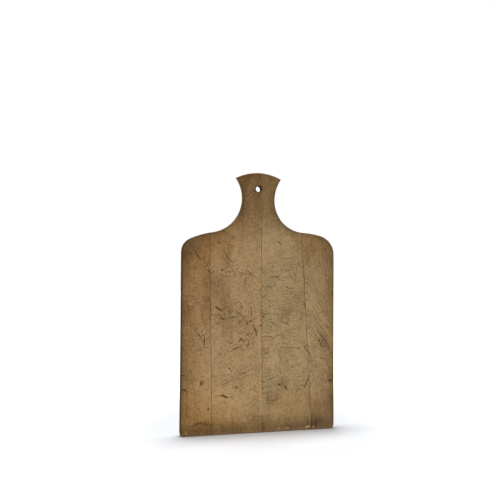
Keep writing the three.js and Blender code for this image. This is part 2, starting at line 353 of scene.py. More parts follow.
# %% Name the cuts on the right half
RIGHT_CUTS = {
    "dash under the neck": (0.85, (276.3, 241.4), (279, 242.3), (281.2, 244.4)),
    "spur of the dash": (0.35, (279, 242.4), (280, 240.8)),
    "faint line": (0.4, (278, 259.3), (285, 258.5), (291, 257.5), (297.4, 255.8)),
    "smudge": (0.35, (269.6, 263.6), (275.4, 262.4)),
    "level dash": (0.6, (281.6, 270.5), (290.4, 270.5)),
    "start of the dark dash": (0.3, (266.4, 277.6), (270.8, 277.6)),
    "dark dash": (0.9, (272, 277.3), (274.2, 276.5), (278.7, 276.6)),
    "end of the dark dash": (0.3, (280, 276.3), (288, 276.6)),
    "tick under the dark dash": (0.4, (280, 279.4), (282.6, 280.6)),
    "wriggle": (0.45, (275, 282.8), (276, 284.2), (274.6, 285.4)),
    "dash off the joint": (0.55, (263.6, 286.7), (270, 287)),
    "end of that dash": (0.65, (271.2, 287.2), (273.7, 286.4)),
    "bent tick": (0.7, (286.4, 286.4), (288.5, 288.3), (291.7, 288.3)),
    "tick below it": (0.6, (286.2, 290.4), (289.2, 291.2)),
    "tick by the middle joint": (0.7, (263.3, 297.7), (265.7, 295.3)),
    "short upright": (0.55, (295.5, 274.2), (295.6, 278.4)),
    "smudge over the right joint": (0.4, (304.8, 256.6), (309.4, 259.4)),
    "first faint level": (0.5, (275, 314.5), (282.8, 314.8)),
    "second faint level": (0.5, (278, 317.8), (282, 318.4)),
    "small nick": (0.65, (272.4, 323.3), (275.5, 324.9)),
    "bent nick": (0.75, (282, 322.2), (286, 323.2), (288.9, 325.2)),
    "faint upright": (0.45, (271.3, 326.6), (271, 330.4)),
    "faint rise": (0.35, (286, 333.2), (292, 329.5), (298.4, 327.3)),
    "curve off the joint": (0.6, (261.8, 336.9), (268.5, 336.2), (272, 338)),
    "end of the curve": (0.85, (268.8, 336.2), (271.6, 337.2), (273.5, 339.6)),
    "rising nick": (0.6, (274.8, 337.1), (279.9, 334.6)),
    "upright nick": (0.6, (282.5, 333), (282.4, 337)),
    "long level cut": (0.7, (283.6, 347.6), (290.5, 347.5), (298.4, 348.2)),
    "faint fall": (0.3, (290.5, 349), (296.2, 355.2)),
    "cut over the right joint": (0.9, (304.6, 347.8), (306.7, 350.4), (309.9, 352.8)),
    "slash by the right joint": (0.95, (309.2, 375.4), (307.8, 379.8), (306.4, 383), (304.6, 386.9)),
    "tick off the middle joint": (0.65, (262, 347.2), (264, 349.8)),
    "beaded cut": (0.75, (263.8, 382.2), (270, 379.3), (277.2, 375.6)),
    "tick above the bruise": (0.65, (280.2, 370.6), (280.5, 373.4)),
    "tail of the bruise": (0.8, (283.4, 385.8), (285.2, 387), (286.9, 389.4)),
    "low arc": (0.65, (266.6, 398.2), (270.4, 400.4), (275.4, 400.6), (280.5, 397.5)),
    "tick under the arc": (0.4, (271.8, 401.8), (274.4, 403.7)),
    "tick over the arc": (0.45, (267.4, 394.4), (271.2, 396.8)),
    "cross cut on the right stave": (0.5, (317.3, 315.7), (323.3, 311.1)),
    "arc on the right stave": (0.85, (317.4, 331), (322, 336.6), (327, 343), (329.4, 348.4)),
    "beside the arc": (0.45, (320.3, 333), (325.7, 339.4)),
    "curl": (0.95, (319.4, 340), (320.6, 344), (323, 346.6), (326.6, 346.2)),
    "inside the curl": (0.9, (323.2, 339.6), (321.9, 342.8)),
    "end of the curl": (0.55, (324.8, 344.2), (327.4, 347.4)),
    "stroke over the arc": (0.5, (321.5, 321.5), (326, 325.2), (330, 329.6)),
    "second stroke over the arc": (0.4, (317.6, 318.2), (321.4, 320.8), (324.4, 324.2)),
    "third stroke over the arc": (0.35, (325.6, 318.6), (330.6, 323.4)),
    "dash on the right stave": (0.75, (320.4, 358.4), (324.4, 358.4)),
    "low arc on the right stave": (0.4, (313, 360.6), (318, 367), (325.4, 371.4)),
    "split by the foot": (0.8, (311, 418.6), (311.3, 425.6)),
    "second split by the foot": (1.0, (316, 420.6), (316, 428.4)),
    "open end of the middle joint": (0.5, (263.9, 423.6), (263.9, 430)),
}
print("cuts on the right half:", len(RIGHT_CUTS))

# %% Name the gouges, pecks and pale marks
GOUGES = {
    "knot in the left joint": (0.9, (208.4, 270), (211.4, 273.8)),
    "bruise on the left stave": (1.0, (200, 385.2), (201.8, 381.2)),
    "head of the bruise": (0.7, (278.6, 385.6), (280.6, 383.4)),
    "tail of the bruise": (0.95, (284, 386), (286.8, 388.9)),
    "foot of the slash": (0.75, (306.8, 382.2), (304.8, 386.6)),
    "middle of the slash": (0.5, (308.2, 379), (307.4, 380.6)),
    "smudge beside the slash": (0.35, (296.2, 390.4), (299.8, 388.6)),
    "scrape": (0.4, (223.8, 251.2), (227, 256.4), (231.2, 262)),
    "knot in the right joint": (0.6, (304.9, 303.4), (305.1, 306.4)),
    "torn patch": (0.96, (215.3, 306.2), (218, 308.5), (222.4, 311)),
    "torn patch, middle": (0.5, (218.8, 314.4), (221.4, 315.8)),
    "torn patch, below": (0.93, (220, 317.2), (222, 318.6), (224.9, 319.3)),
    "worm holes": (0.95, (246.2, 322.4), (248, 324.2)),
    "deep gouge by the foot": (1.0, (219.4, 395.9), (222.5, 395.5), (225.4, 396.9), (228.4, 397.8)),
    "tip of the deep gouge": (0.4, (215.4, 396.7), (218, 396), (221, 395.6)),
    "end of the deep gouge": (0.6, (230.2, 397.1), (233.8, 396.9)),
    "low peck, drawn out": (0.8, (235.2, 386.8), (237.8, 388.7)),
    "torn left edge": (1.0, (181.8, 391.2), (184, 389.8), (186.2, 392.2)),
    "mark on the left stave": (0.6, (198.4, 349.3), (201, 350.5)),
    "bruise on the right edge": (1.0, (328, 380.4), (331.6, 379.8)),
    "foot of that bruise": (0.7, (329.6, 381.5), (331.8, 381.5)),
    "stain by the splits": (0.5, (308, 420.4), (308, 423.6)),
}
PECKS = {
    "under the neck": (0.75, (224, 231.5)),
    "beside the slash": (0.5, (199.7, 252.6)),
    "by the left joint": (0.5, (213.3, 271.5)),
    "left of the middle": (1.0, (222.3, 269.9)),
    "next to it": (0.65, (230, 272.1)),
    "end of the scrape": (0.7, (227.8, 263.4)),
    "faint one": (0.5, (237.8, 268.6)),
    "by the smudge": (0.5, (219.2, 285.2)),
    "on the left stave": (0.45, (203.3, 296.5)),
    "upper knot of the left joint": (0.6, (210.6, 310.7)),
    "in the scarred patch": (0.5, (224, 309.3)),
    "end of the bow": (0.55, (231.4, 317.2)),
    "by the upright cut": (0.5, (245.7, 310)),
    "worm hole": (0.9, (250.6, 321.3)),
    "on the left stave, lower": (0.5, (205, 325)),
    "over the wriggle": (0.5, (195, 329.5)),
    "under the middle": (0.95, (229.5, 368.6)),
    "its neighbour": (0.7, (231.5, 370.8)),
    "in the fan": (0.6, (238.4, 379)),
    "low on the left stave": (0.5, (195, 394.3)),
    "lower knot of the left joint": (0.6, (211.6, 392.5)),
    "low, by the left joint": (0.95, (208.3, 409.3)),
    "by the middle joint": (0.72, (263.6, 316.7)),
    "knot in the middle joint": (0.85, (260.5, 325.6)),
    "right of the middle joint": (0.6, (265.5, 353)),
    "knot low in the middle joint": (0.6, (262.9, 388)),
    "faint, on the right": (0.4, (280.7, 359.5)),
    "faint, further right": (0.4, (287.5, 360.5)),
    "in the bruise": (1.0, (279.7, 384.3)),
    "left of the bruise": (0.45, (270.5, 386.2)),
    "upper knot of the right joint": (0.6, (302.6, 267)),
    "on the right shoulder": (0.35, (316, 250.5)),
    "over the arc": (0.5, (326.5, 336)),
    "by the right edge": (0.45, (327.5, 355)),
    "near the right corner": (0.5, (325, 414)),
}
PALE_MARKS = {
    "fleck on the left stave": (0.8, (189.5, 302.8), (190.6, 304)),
    "raised edge of the curl": (0.6, (247.4, 272), (249.6, 273.6)),
    "scratch by the foot": (0.8, (244, 418.2), (246.6, 422.6)),
    "beside the bruise": (0.6, (198, 383.4), (198.6, 385)),
    "over the low peck": (0.5, (233, 384), (235.4, 385)),
    "beside the torn edge": (0.5, (184, 391.2), (184.8, 391.9)),
    # These two pale lines beside the right joint are a painted highlight on the raised edge of the right
    # stave.
    "by the right joint": (0.5, (308.4, 332), (309, 344)),
    "by the right joint, higher": (0.3, (305.1, 281), (306, 299), (307, 316)),
    "along the middle joint": (0.4, (261.6, 390), (261.8, 420)),
    "along the right joint, low": (0.35, (309.5, 408), (310.2, 424)),
    "under the long level cut": (0.5, (294, 349.4), (298, 350)),
    "first chip at the foot": (0.9, (278.4, 427.6), (278.7, 429.6)),
    "second chip at the foot": (0.7, (287, 427.4), (288.2, 428.4)),
    "third chip at the foot": (1.2, (305.8, 427.2), (308.2, 425.8)),
    "fourth chip at the foot": (1.15, (313, 426.2), (314.2, 427.6)),
    "left corner": (0.6, (185.2, 432), (186, 434)),
}
WATER_LINES = {
    "tide mark on the left stave": (
        0.6, (188.6, 427), (195, 425), (200.5, 423.2), (206, 424.8), (210.6, 424.4)
    ),
    "tide mark on the left centre": (0.25, (212.6, 424.6), (220, 425.6), (228, 427.4)),
    "run on the left edge": (0.4, (186.8, 404), (186.6, 418)),
    "run above it": (0.3, (187.4, 380), (187, 398)),
}
print("gouges:", len(GOUGES), "pecks:", len(PECKS), "pale marks:", len(PALE_MARKS))

# %% [markdown]
# ## From marks to strokes
# A mark becomes a stroke: a smooth curve through its points on the board, with a width, a depth and an amount
# of dirt. A stronger mark has more of all three. Pecks hold the most dirt. A pale mark has dirt below zero,
# which is how the colours later know it from a cut.

# %% Turn the marks into strokes
Stroke = namedtuple("Stroke", "line half_width depth grime hollow")
STEP_ALONG = 2.5
Size = namedtuple("Size", "half_width depth dirt")
CUT_SIZE = Size(1.15, 0.5, 1.12)
GOUGE_SIZE = Size(2.3, 0.7, 1.0)
PECK_SIZE = Size(2.3, 0.9, 1.3)
PALE_SIZE = Size(1.3, 0.05, -1.0)
WATER_SIZE = Size(3.2, 0.0, 1.0)
LEAST_WIDTH = 0.55
WIDTH_BY_STRENGTH = 0.45


def curve_through(path, step):
    """Points at short steps along a smooth curve through a few given ones."""
    path = np.array(path, dtype=float)
    if len(path) == 1:
        return path
    guides = np.vstack([2 * path[0] - path[1], path, 2 * path[-1] - path[-2]])
    line = []
    for before, start, end, after in zip(guides, guides[1:], guides[2:], guides[3:]):
        count = max(2, int(np.ceil(np.hypot(*(end - start)) / step)))
        for t in np.arange(count) / count:
            bend = (2 * before - 5 * start + 4 * end - after) * t**2
            twist = (3 * start - before - 3 * end + after) * t**3
            line.append(start + ((end - before) * t + bend + twist) / 2)
    return np.array([*line, path[-1]])


def named_strokes(marks, size):
    """Strokes for a table of named marks: stronger ones are wider, deeper and dirtier."""
    strokes = []
    for strength, *pixels in marks.values():
        line = curve_through([on_face(pixel) for pixel in pixels], STEP_ALONG)
        width = size.half_width * (LEAST_WIDTH + WIDTH_BY_STRENGTH * strength)
        strokes.append(Stroke(line, width, size.depth * strength, size.dirt * strength, True))
    return strokes


MARK_SIZES = (
    (LEFT_CUTS, CUT_SIZE),
    (RIGHT_CUTS, CUT_SIZE),
    (GOUGES, GOUGE_SIZE),
    (PECKS, PECK_SIZE),
    (PALE_MARKS, PALE_SIZE),
    (WATER_LINES, WATER_SIZE),
)
front_strokes = [stroke for marks, size in MARK_SIZES for stroke in named_strokes(marks, size)]
print("named marks:", len(front_strokes))

# %% [markdown]
# ## The curly figure
# On the right stave the grain turns aside round a knot. It shows as dark lines side by side, each a little
# bent, that fall to the right. They are one line, repeated down the stave with some chance in it.

# %% Draw the figure lines
rng = np.random.default_rng(1907)
FIGURE_LINE = ((314.5, -9.0), (322.0, 0.0), (331.0, 12.0))
FIGURE_ROWS = range(297, 337, 5)
FIGURE_SIZE = (1.3, 0.06)
FIGURE_DIRT = (0.1, 0.4)
FIGURE_SHIFT = 5
FIGURE_DRIFT = 1.6
for row in FIGURE_ROWS:
    start, end = sorted(rng.uniform(-FIGURE_SHIFT, FIGURE_SHIFT, 2))
    drop = row + rng.normal(0, FIGURE_DRIFT)
    path = [(x + shift, drop + fall + shift) for (x, fall), shift in zip(FIGURE_LINE, (start, 0.0, end))]
    line = curve_through([on_face(pixel) for pixel in path], STEP_ALONG)
    front_strokes.append(Stroke(line, *FIGURE_SIZE, rng.uniform(*FIGURE_DIRT), True))
print("figure lines:", len(FIGURE_ROWS))

# %% [markdown]
# ## The fine scratches
# Between the named marks lie hundreds of faint cuts. Which way they run depends on how the board was turned,
# so each stave has its own favourite directions. A seeded random generator draws them, so that every run
# gives the same board.

# %% Scatter fine scratches
SCRATCH_ANGLES = {
    "left_stave": (75, -60, 20),
    "left_centre_stave": (28, -42, 30, 80),
    "right_centre_stave": (2, -4, 8, 30),
    "right_stave": (-52, -60, 30),
}
FRONT_SCRATCHES_PER_SQUARE_CM = 0.8
BACK_SCRATCHES_PER_SQUARE_CM = 0.2
SCRATCH_SPREAD = 9
SCRATCH_REACH = (2.5, 12)
SCRATCH_BOW = 0.06
SCRATCH_STRENGTH = (0.15, 0.6)


def scatter(name, per_square_cm):
    """Random fine cuts over one stave."""
    low, high = slices[name].min(axis=0), slices[name].max(axis=0)
    strokes = []
    for _ in range(int(np.prod((high - low) / 10) * per_square_cm)):
        middle = rng.uniform(low, high)
        angle = radians(rng.choice(SCRATCH_ANGLES[name]) + rng.normal(0, SCRATCH_SPREAD))
        reach = rng.uniform(*SCRATCH_REACH) * np.array((cos(angle), sin(angle)))
        bow = rng.normal(0, SCRATCH_BOW) * np.array((-reach[1], reach[0]))
        line = curve_through([middle - reach, middle + bow, middle + reach], STEP_ALONG)
        strength = rng.uniform(*SCRATCH_STRENGTH)
        strokes.append(Stroke(line, 0.2 + 0.3 * strength, 0.1 + 0.15 * strength, strength, False))
    return strokes


print("scratches per square cm:", FRONT_SCRATCHES_PER_SQUARE_CM, "and", BACK_SCRATCHES_PER_SQUARE_CM)

# %% [markdown]
# ## The clusters of nicks
# Where the knife often stopped, small nicks lie close together. Each such place is one cluster, with a count,
# a middle and a reach in pixels, a direction and how far the nicks stray from it.

# %% Scatter the clusters
FLECK_SPREAD = 0.55
FLECK_REACH = (0.8, 3.6)
FLECK_CHANGE = (0.5, 1.4)
Cluster = namedtuple("Cluster", "count middle reach angle spread strength")
CLUSTERS = {
    "scarred patch": Cluster(40, (229, 318), (17, 13), 18, 45, 0.5),
    "under the scarred patch": Cluster(24, (226, 334), (14, 10), 25, 30, 0.4),
    "by the hook": Cluster(14, (246, 330), (9, 12), -40, 45, 0.45),
    "fan": Cluster(24, (232, 379), (14, 8), 28, 10, 0.45),
    "left of the neck": Cluster(14, (228, 247), (14, 12), -35, 40, 0.45),
    "by the upper pecks": Cluster(12, (232, 272), (20, 9), 0, 60, 0.36),
    "left joint": Cluster(12, (207, 305), (8, 28), 40, 40, 0.4),
    "left stave": Cluster(14, (198, 335), (9, 16), -55, 30, 0.4),
    "level cuts on the right": Cluster(24, (281, 275), (17, 14), 2, 10, 0.42),
    "lower level cuts": Cluster(22, (283, 313), (12, 12), 4, 14, 0.4),
    "by the long level cut": Cluster(14, (283, 345), (17, 10), 10, 35, 0.35),
    "bruise": Cluster(10, (280, 384), (9, 7), -40, 40, 0.5),
    "low arc": Cluster(12, (272, 398), (8, 6), -20, 30, 0.5),
    "right stave": Cluster(14, (319, 350), (8, 22), -45, 25, 0.45),
}


def flecks(cluster):
    """Small nicks, close together, more or less in one direction."""
    strokes = []
    for _ in range(cluster.count):
        middle = on_face(np.array(cluster.middle) + rng.normal(0, FLECK_SPREAD, 2) * cluster.reach)
        angle = radians(rng.normal(cluster.angle, cluster.spread))
        reach = rng.uniform(*FLECK_REACH) * np.array((cos(angle), sin(angle)))
        strength = rng.uniform(*FLECK_CHANGE) * cluster.strength
        line = curve_through([middle - reach, middle + reach], STEP_ALONG)
        strokes.append(Stroke(line, 0.4 + 0.8 * strength, 0.3 * strength, strength, False))
    return strokes


for cluster in CLUSTERS.values():
    front_strokes += flecks(cluster)
scratches = {name: scatter(name, FRONT_SCRATCHES_PER_SQUARE_CM) for name in STAVES}
back_strokes = {name: scatter(name, BACK_SCRATCHES_PER_SQUARE_CM) for name in STAVES}
print("fine scratches:", {name: len(strokes) for name, strokes in scratches.items()})

# %% [markdown]
# ## How worn the wood is at each point
# Every point of a face gets a depth below the flat solid. The arris is a quarter round that wears unevenly,
# the middle is dished by years of scrubbing, and each mark sinks below that. The depth is never negative, so
# the worn board stays inside its solid.

# %% Measure the wear
ARRIS_RADIUS = 1.9
ARRIS_CHANGE = 0.6
HOLE_ARRIS = 0.35
JOINT_EASE = 0.22
JOINT_REACH = 0.9
DISH_DEPTH = 0.35
RIPPLE = 0.06
USED_WIDTH = 95
USED_HEIGHT = 165
USED_LENGTH = 130
LEAST_REACH = 1e-3
NICKS = {
    "foot nick at the middle": (278, 430.6),
    "second foot nick": (287, 430.2),
    "foot nick by the right joint": (308, 429),
    "foot nick on the right stave": (315, 428.8),
    "nick on the left edge": (179.5, 378),
}
NICK_DEPTH = 1.2
NICK_SIZE = 2.2


def ripple(points, size, seed):
    """Smooth random heights from -1 to 1, about so many millimetres across."""
    return np.array([noise.noise(Vector((x / size, z / size, seed))) for x, z in points])


def swell(share):
    """A stroke's size along its length: nothing at both ends, full in the middle."""
    return np.sin(pi * np.clip(share, 0, 1)) ** 0.6


def quarter_round(gap, radius):
    """How far a rounded arris falls away, at a gap in from the edge."""
    reach = np.clip(radius - gap, 0, radius)
    return radius - np.sqrt(np.maximum(radius**2 - reach**2, 0))


def carve(points, strokes):
    """The depth of the marks at each point, the dirt in them, and the pale fibres beside them."""
    depth, grime, pale = np.zeros((3, len(points)))
    for stroke in strokes:
        low = stroke.line.min(axis=0) - stroke.half_width
        high = stroke.line.max(axis=0) + stroke.half_width
        near = np.flatnonzero(((points > low) & (points < high)).all(axis=1))
        if len(near) == 0:
            continue
        if len(stroke.line) == 1:
            gap, size = np.hypot(*(points[near] - stroke.line[0]).T), np.ones(len(near))
        else:
            gap, share = distance(points[near], stroke.line[:-1], stroke.line[1:], share=True)
            size = swell(share)
        fall = np.clip(1 - gap / np.maximum(stroke.half_width * size, LEAST_REACH), 0, 1)
        depth[near] = np.maximum(depth[near], stroke.depth * size * fall)
        fill = np.minimum(2 * fall, 1) if stroke.hollow else fall
        grime[near] = np.maximum(grime[near], stroke.grime * fill)
        pale[near] = np.maximum(pale[near], -stroke.grime * fill)
    rough = 1.0 + 0.5 * ripple(points, 2.3, 71)
    return depth, grime * rough, pale * rough


def gaps_to(points, edge):
    """Each point's distance to the outer edge, to the joints and to the hole."""
    ends = np.roll(edge.points, -1, axis=0)
    return [distance(points, edge.points[edge.kinds == kind], ends[edge.kinds == kind]) for kind in KINDS]


def use(points):
    """How much a place on the cutting face is used: most in the middle."""
    return np.exp(-((points[:, 0] / USED_WIDTH) ** 2) - ((points[:, 1] - USED_HEIGHT) / USED_LENGTH) ** 2)


def wear_depth(points, gaps, seed, dish):
    """How far the wood has worn away at each point of a face, without its marks."""
    radius = ARRIS_RADIUS + ARRIS_CHANGE * ripple(points, 26, seed)
    for pixel in NICKS.values():
        apart = np.hypot(*(points - on_face(pixel)).T)
        radius += NICK_DEPTH * np.exp(-((apart / NICK_SIZE) ** 2))
    depth = np.maximum(quarter_round(gaps[OUTER], radius), quarter_round(gaps[HOLE], HOLE_ARRIS))
    depth += JOINT_EASE * np.clip(1 - gaps[JOINT] / JOINT_REACH, 0, 1) ** 2
    depth += dish * use(points)
    return depth + RIPPLE * (1 + ripple(points, 14, seed + 3))


print("arris", ARRIS_RADIUS, "mm, dish", DISH_DEPTH, "mm")

# %% [markdown]
# ## Where the wood is stained or scrubbed
# The handle is darker, and so is a band along the edges, water darkens the foot, and scrubbing keeps the
# middle pale. These
# soft changes are masks on the points: a few follow from the distance to an edge, and the patches that the
# picture shows are placed by pixel, each with its strength and its size. Standing water has turned the right
# corner grey, and short stretches of the joints have stayed clean. The materials turn the masks into colour.

# %% Name the patches
PIXEL = np.hypot(*(on_face((251, 250)) - on_face((250, 250))))
STAINS = {
    "head of the handle": (0.14, (256, 180), (18, 8)),
    "left shoulder": (0.50, (192, 247), (12, 10)),
    "under the left shoulder": (0.26, (187, 264), (11, 15)),
    "along the left shoulder": (0.16, (206, 237), (16, 6)),
    "left edge": (0.30, (182, 290), (7, 45)),
    "left edge, lower": (0.31, (182, 391), (7, 26)),
    "streak on the left stave": (0.20, (191, 307), (6, 12)),
    "lower streak on the left stave": (0.20, (186, 352), (7, 14)),
    "left of the neck": (0.15, (218, 244), (15, 14)),
    "smudge right of the left joint": (0.36, (217, 293), (12, 20)),
    "by the knot in the left joint": (0.14, (214, 262), (6, 7)),
    "scrape": (0.24, (226, 260), (6, 9)),
    "smudge by the middle joint": (0.06, (250, 334), (14, 18)),
    "shade on the right centre": (0.18, (298, 294), (9, 12)),
    "shade below it": (0.24, (283, 315), (10, 11)),
    "low bruise": (0.24, (282, 384), (7, 7)),
    "smudge over the low bruise": (0.22, (284, 380.4), (4, 3.5)),
    "smudge by the low arc": (0.22, (273, 397), (8, 7)),
    "right shoulder": (0.43, (317, 246), (16, 12)),
    "smudge by the right joint": (0.22, (308, 261), (6, 4)),
    "right edge": (0.28, (331, 278), (7, 30)),
    "right edge, middle": (0.20, (332, 320), (6, 14)),
    "curl on the right stave": (0.12, (324, 343), (7, 9)),
    "under the right shoulder": (0.27, (316, 271), (12, 13)),
    "right edge, lower": (0.38, (332, 386), (7, 26)),
    "right edge, over the bruise": (0.16, (325, 371), (5, 8)),
    "right corner": (0.07, (316, 421), (17, 8)),
    "foot of the right joint": (0.08, (311, 425), (5, 4)),
    "over the right corner": (0.50, (318, 407), (13, 12)),
    "left corner": (0.12, (199, 430), (15, 5)),
}
AMBER = {
    "left stave": (0.2, (196, 270), (15, 40)),
    "left stave, low": (0.7, (198, 410), (18, 24)),
    "left of the neck": (0.8, (217, 245), (18, 18)),
    "left centre, low": (0.5, (222, 410), (18, 16)),
    "right shoulder": (0.6, (313, 246), (18, 14)),
    "right edge": (0.35, (328, 320), (8, 40)),
    "right centre, low": (0.7, (291, 404), (20, 14)),
    "foot": (0.5, (250, 424), (60, 8)),
}
SCRUBBED = {
    "by the deep gouge": (1.1, (227, 400), (22, 14)),
    "by the slash": (0.4, (303, 378), (9, 9)),
    "beside the middle joint": (0.55, (252, 365), (10, 10)),
    "over the peck by the middle joint": (0.3, (265, 306), (6, 10)),
    "left centre": (0.55, (219, 358), (17, 22)),
    "under the neck": (0.42, (266, 250), (28, 24)),
    "right centre": (0.34, (284, 348), (18, 20)),
    "right stave": (0.6, (312, 300), (7, 17)),
    "right stave, lower": (0.4, (315, 365), (8, 20)),
    "left stave": (0.55, (206, 385), (11, 36)),
    "left stave, higher": (0.25, (206, 328), (8, 14)),
}
GREYED = {
    "left shoulder": (0.45, (191, 243), (8, 6)),
    "foot, left of the middle": (0.3, (220, 431), (38, 4)),
    "foot, right of the middle": (0.4, (296, 426), (14, 4)),
    "right corner": (0.62, (319, 422), (14, 7)),
    "right edge": (0.22, (331, 402), (4, 24)),
}
CLEAN_JOINTS = {
    "left joint": (0.4, (210, 294), (6, 8)),
    "left joint, low": (0.12, (211, 408), (6, 14)),
    "middle joint, low": (0.75, (262, 405), (6, 11)),
    "right joint, top": (0.5, (302, 256), (6, 8)),
    "right joint, low": (0.45, (310, 411), (6, 10)),
}
print("stains:", len(STAINS), "scrubbed:", len(SCRUBBED), "greyed:", len(GREYED))

# %% Measure the stains
HANDLE_DARKENING = (0.57, 308.0, 362.0)
FOOT_STAIN = (0.50, 32.0, 6.0)
FOOT_RIM = (0.4, 8, 1)
EDGE_BAND_DARKENING = (0.40, 8.0)
EDGE_BAND_ABOVE = (2, 22)
RAGGED = 2.5


def ramp(value, start, end):
    """Rises smoothly from 0 at the start to 1 at the end."""
    share = np.clip((value - start) / (end - start), 0, 1)
    return share * share * (3 - 2 * share)


def patches(points, table):
    """The sum of some soft, ragged patches at each point."""
    total = np.zeros(len(points))
    warp = RAGGED * np.stack([ripple(points, 9, 21), ripple(points, 9, 37)], axis=1)
    for strength, middle, reach in table.values():
        apart = (points + warp - on_face(middle)) / (np.array(reach) * PIXEL)
        total += strength * np.exp(-(apart**2).sum(axis=1))
    return total


def stain(points, gaps, is_front):
    """The darkening that both faces have: towards the handle, the stain at the foot and a band along the
    edge.
    """
    seed = 51 if is_front else 67
    up = points[:, 1] + 7 * ripple(points, 17, seed)
    handle = HANDLE_DARKENING[0] * ramp(up, *HANDLE_DARKENING[1:])
    foot = FOOT_STAIN[0] * ramp(up, *FOOT_STAIN[1:]) * (1 - FOOT_RIM[0] * ramp(points[:, 1], *FOOT_RIM[1:]))
    band = EDGE_BAND_DARKENING[0] * np.exp(-gaps[OUTER] / EDGE_BAND_DARKENING[1])
    band = band * (0.85 + 0.25 * ripple(points, 30, seed + 5))
    return np.maximum(handle, foot) + band * ramp(points[:, 1], *EDGE_BAND_ABOVE)


print("a pixel of the picture is", round(PIXEL, 2), "mm on the board")

# %% [markdown]
# ## The points of a worn face
# A face is a sheet of triangles over points: the edge, rows of points that carry the rounded arris, a loose
# grid, and rows along every mark. An even grid that is fine enough for a hair-thin cut would need millions of
# points, so the points are put where the shape changes.

# %% Lay out the points
GRID_STEP = 4.0
GRID_ROW = 0.87
GRID_CHANCE = 0.2
GRID_CLEAR = 0.3
ROW_CLEAR = 0.93
PECK_SIDES = 10
PECK_RINGS = (1.0, 0.55, 0.0)
HOLLOW_ROWS = (-1, -0.5, 0, 0.5, 1)
GROOVE_ROWS = (-1, 0, 1)


def inside(points, edge):
    """Which points lie inside an outline, by counting the edges to their right."""
    starts, ends = edge.points, np.roll(edge.points, -1, axis=0)
    rise = ends[:, 1] - starts[:, 1]
    slope = (ends[:, 0] - starts[:, 0]) / np.where(rise == 0, 1.0, rise)
    found = []
    for few in np.array_split(points, len(points) // AT_ONCE + 1):
        above = few[:, None, 1]
        spans = (starts[:, 1] > above) != (ends[:, 1] > above)
        left = few[:, None, 0] < starts[:, 0] + slope * (above - starts[:, 1])
        found.append((spans & left).sum(axis=1) % 2 == 1)
    return np.concatenate(found)


def edge_gap(points, edge):
    """Each point's distance to the whole outline."""
    return distance(points, edge.points, np.roll(edge.points, -1, axis=0))


def rows_along(edge):
    """Points in rows inside the edge: close together on the arris, and two beside a joint."""
    along = np.roll(edge.points, -1, axis=0) - np.roll(edge.points, 1, axis=0)
    inward = np.stack([-along[:, 1], along[:, 0]], axis=1)
    inward /= np.linalg.norm(inward, axis=1)[:, None]
    same = edge.kinds == np.roll(edge.kinds, 1)
    rows = []
    for kind, steps in ((OUTER, ARRIS_STEPS), (JOINT, JOINT_STEPS), (HOLE, JOINT_STEPS)):
        chosen = same & (edge.kinds == kind)
        for step in steps:
            row = edge.points[chosen] + inward[chosen] * step
            rows.append(row[edge_gap(row, edge) > ROW_CLEAR * step])
    return np.vstack(rows)


def grid_over(edge, step):
    """A loose grid of points inside the outline, clear of the rows along the edge."""
    low, high = edge.points.min(axis=0), edge.points.max(axis=0)
    columns, lines = np.arange(low[0], high[0], step), np.arange(low[1], high[1], step * GRID_ROW)
    across, up = np.meshgrid(columns, lines)
    across[1::2] += step / 2
    points = np.stack([across.ravel(), up.ravel()], axis=1)
    points += rng.uniform(-GRID_CHANCE, GRID_CHANCE, points.shape) * step
    points = points[inside(points, edge)]
    return points[edge_gap(points, edge) > ARRIS_STEPS[-1] + GRID_CLEAR * step]


def rows_of(stroke):
    """The rows of points that carry one mark, from rim to rim."""
    if len(stroke.line) == 1:
        turns = np.arange(PECK_SIDES) * 2 * pi / PECK_SIDES
        ring = np.stack([np.cos(turns), np.sin(turns)], axis=1) * stroke.half_width
        return [stroke.line[0] + ring * size for size in PECK_RINGS]
    along = np.gradient(stroke.line, axis=0)
    side = np.stack([-along[:, 1], along[:, 0]], axis=1) / np.hypot(*along.T)[:, None]
    width = stroke.half_width * swell(np.linspace(0, 1, len(stroke.line)))
    shares = HOLLOW_ROWS if stroke.hollow else GROOVE_ROWS
    return [stroke.line + side * (width * share)[:, None] for share in shares]


print("grid step", GRID_STEP, "mm, arris rows", len(ARRIS_STEPS))

# %% [markdown]
# ## The triangles of a worn face
# A constrained Delaunay triangulation joins the points. The rims and the bottom of each cut are given as
# fixed lines, so that a groove stays crisp on a coarse grid. It also fills the bays outside the outline. The
# triangles there are found by spreading inwards from the open sides until the outline stops it. A test of
# their middles would be shorter, but it can't judge slivers that lie on the line.

# %% Triangulate a face
CLEAR = 0.3
SAME_POINT = 1e-4
Sheet = namedtuple("Sheet", "points triangles border")


def shut_in(triangles, fence):
    """The triangles inside a closed line: what is left when the rest is found from outside."""
    sides = {}
    for number, (first, second, third) in enumerate(triangles):
        for side in ((first, second), (second, third), (third, first)):
            if frozenset(side) not in fence:
                sides.setdefault(frozenset(side), []).append(number)
    beside = {}
    for pair in sides.values():
        for number in pair:
            beside.setdefault(number, []).extend(pair)
    spread = [pair[0] for pair in sides.values() if len(pair) == 1]
    outside = set(spread)
    while spread:
        fresh = set(beside[spread.pop()]) - outside
        outside |= fresh
        spread += fresh
    return [face for number, face in enumerate(triangles) if number not in outside]


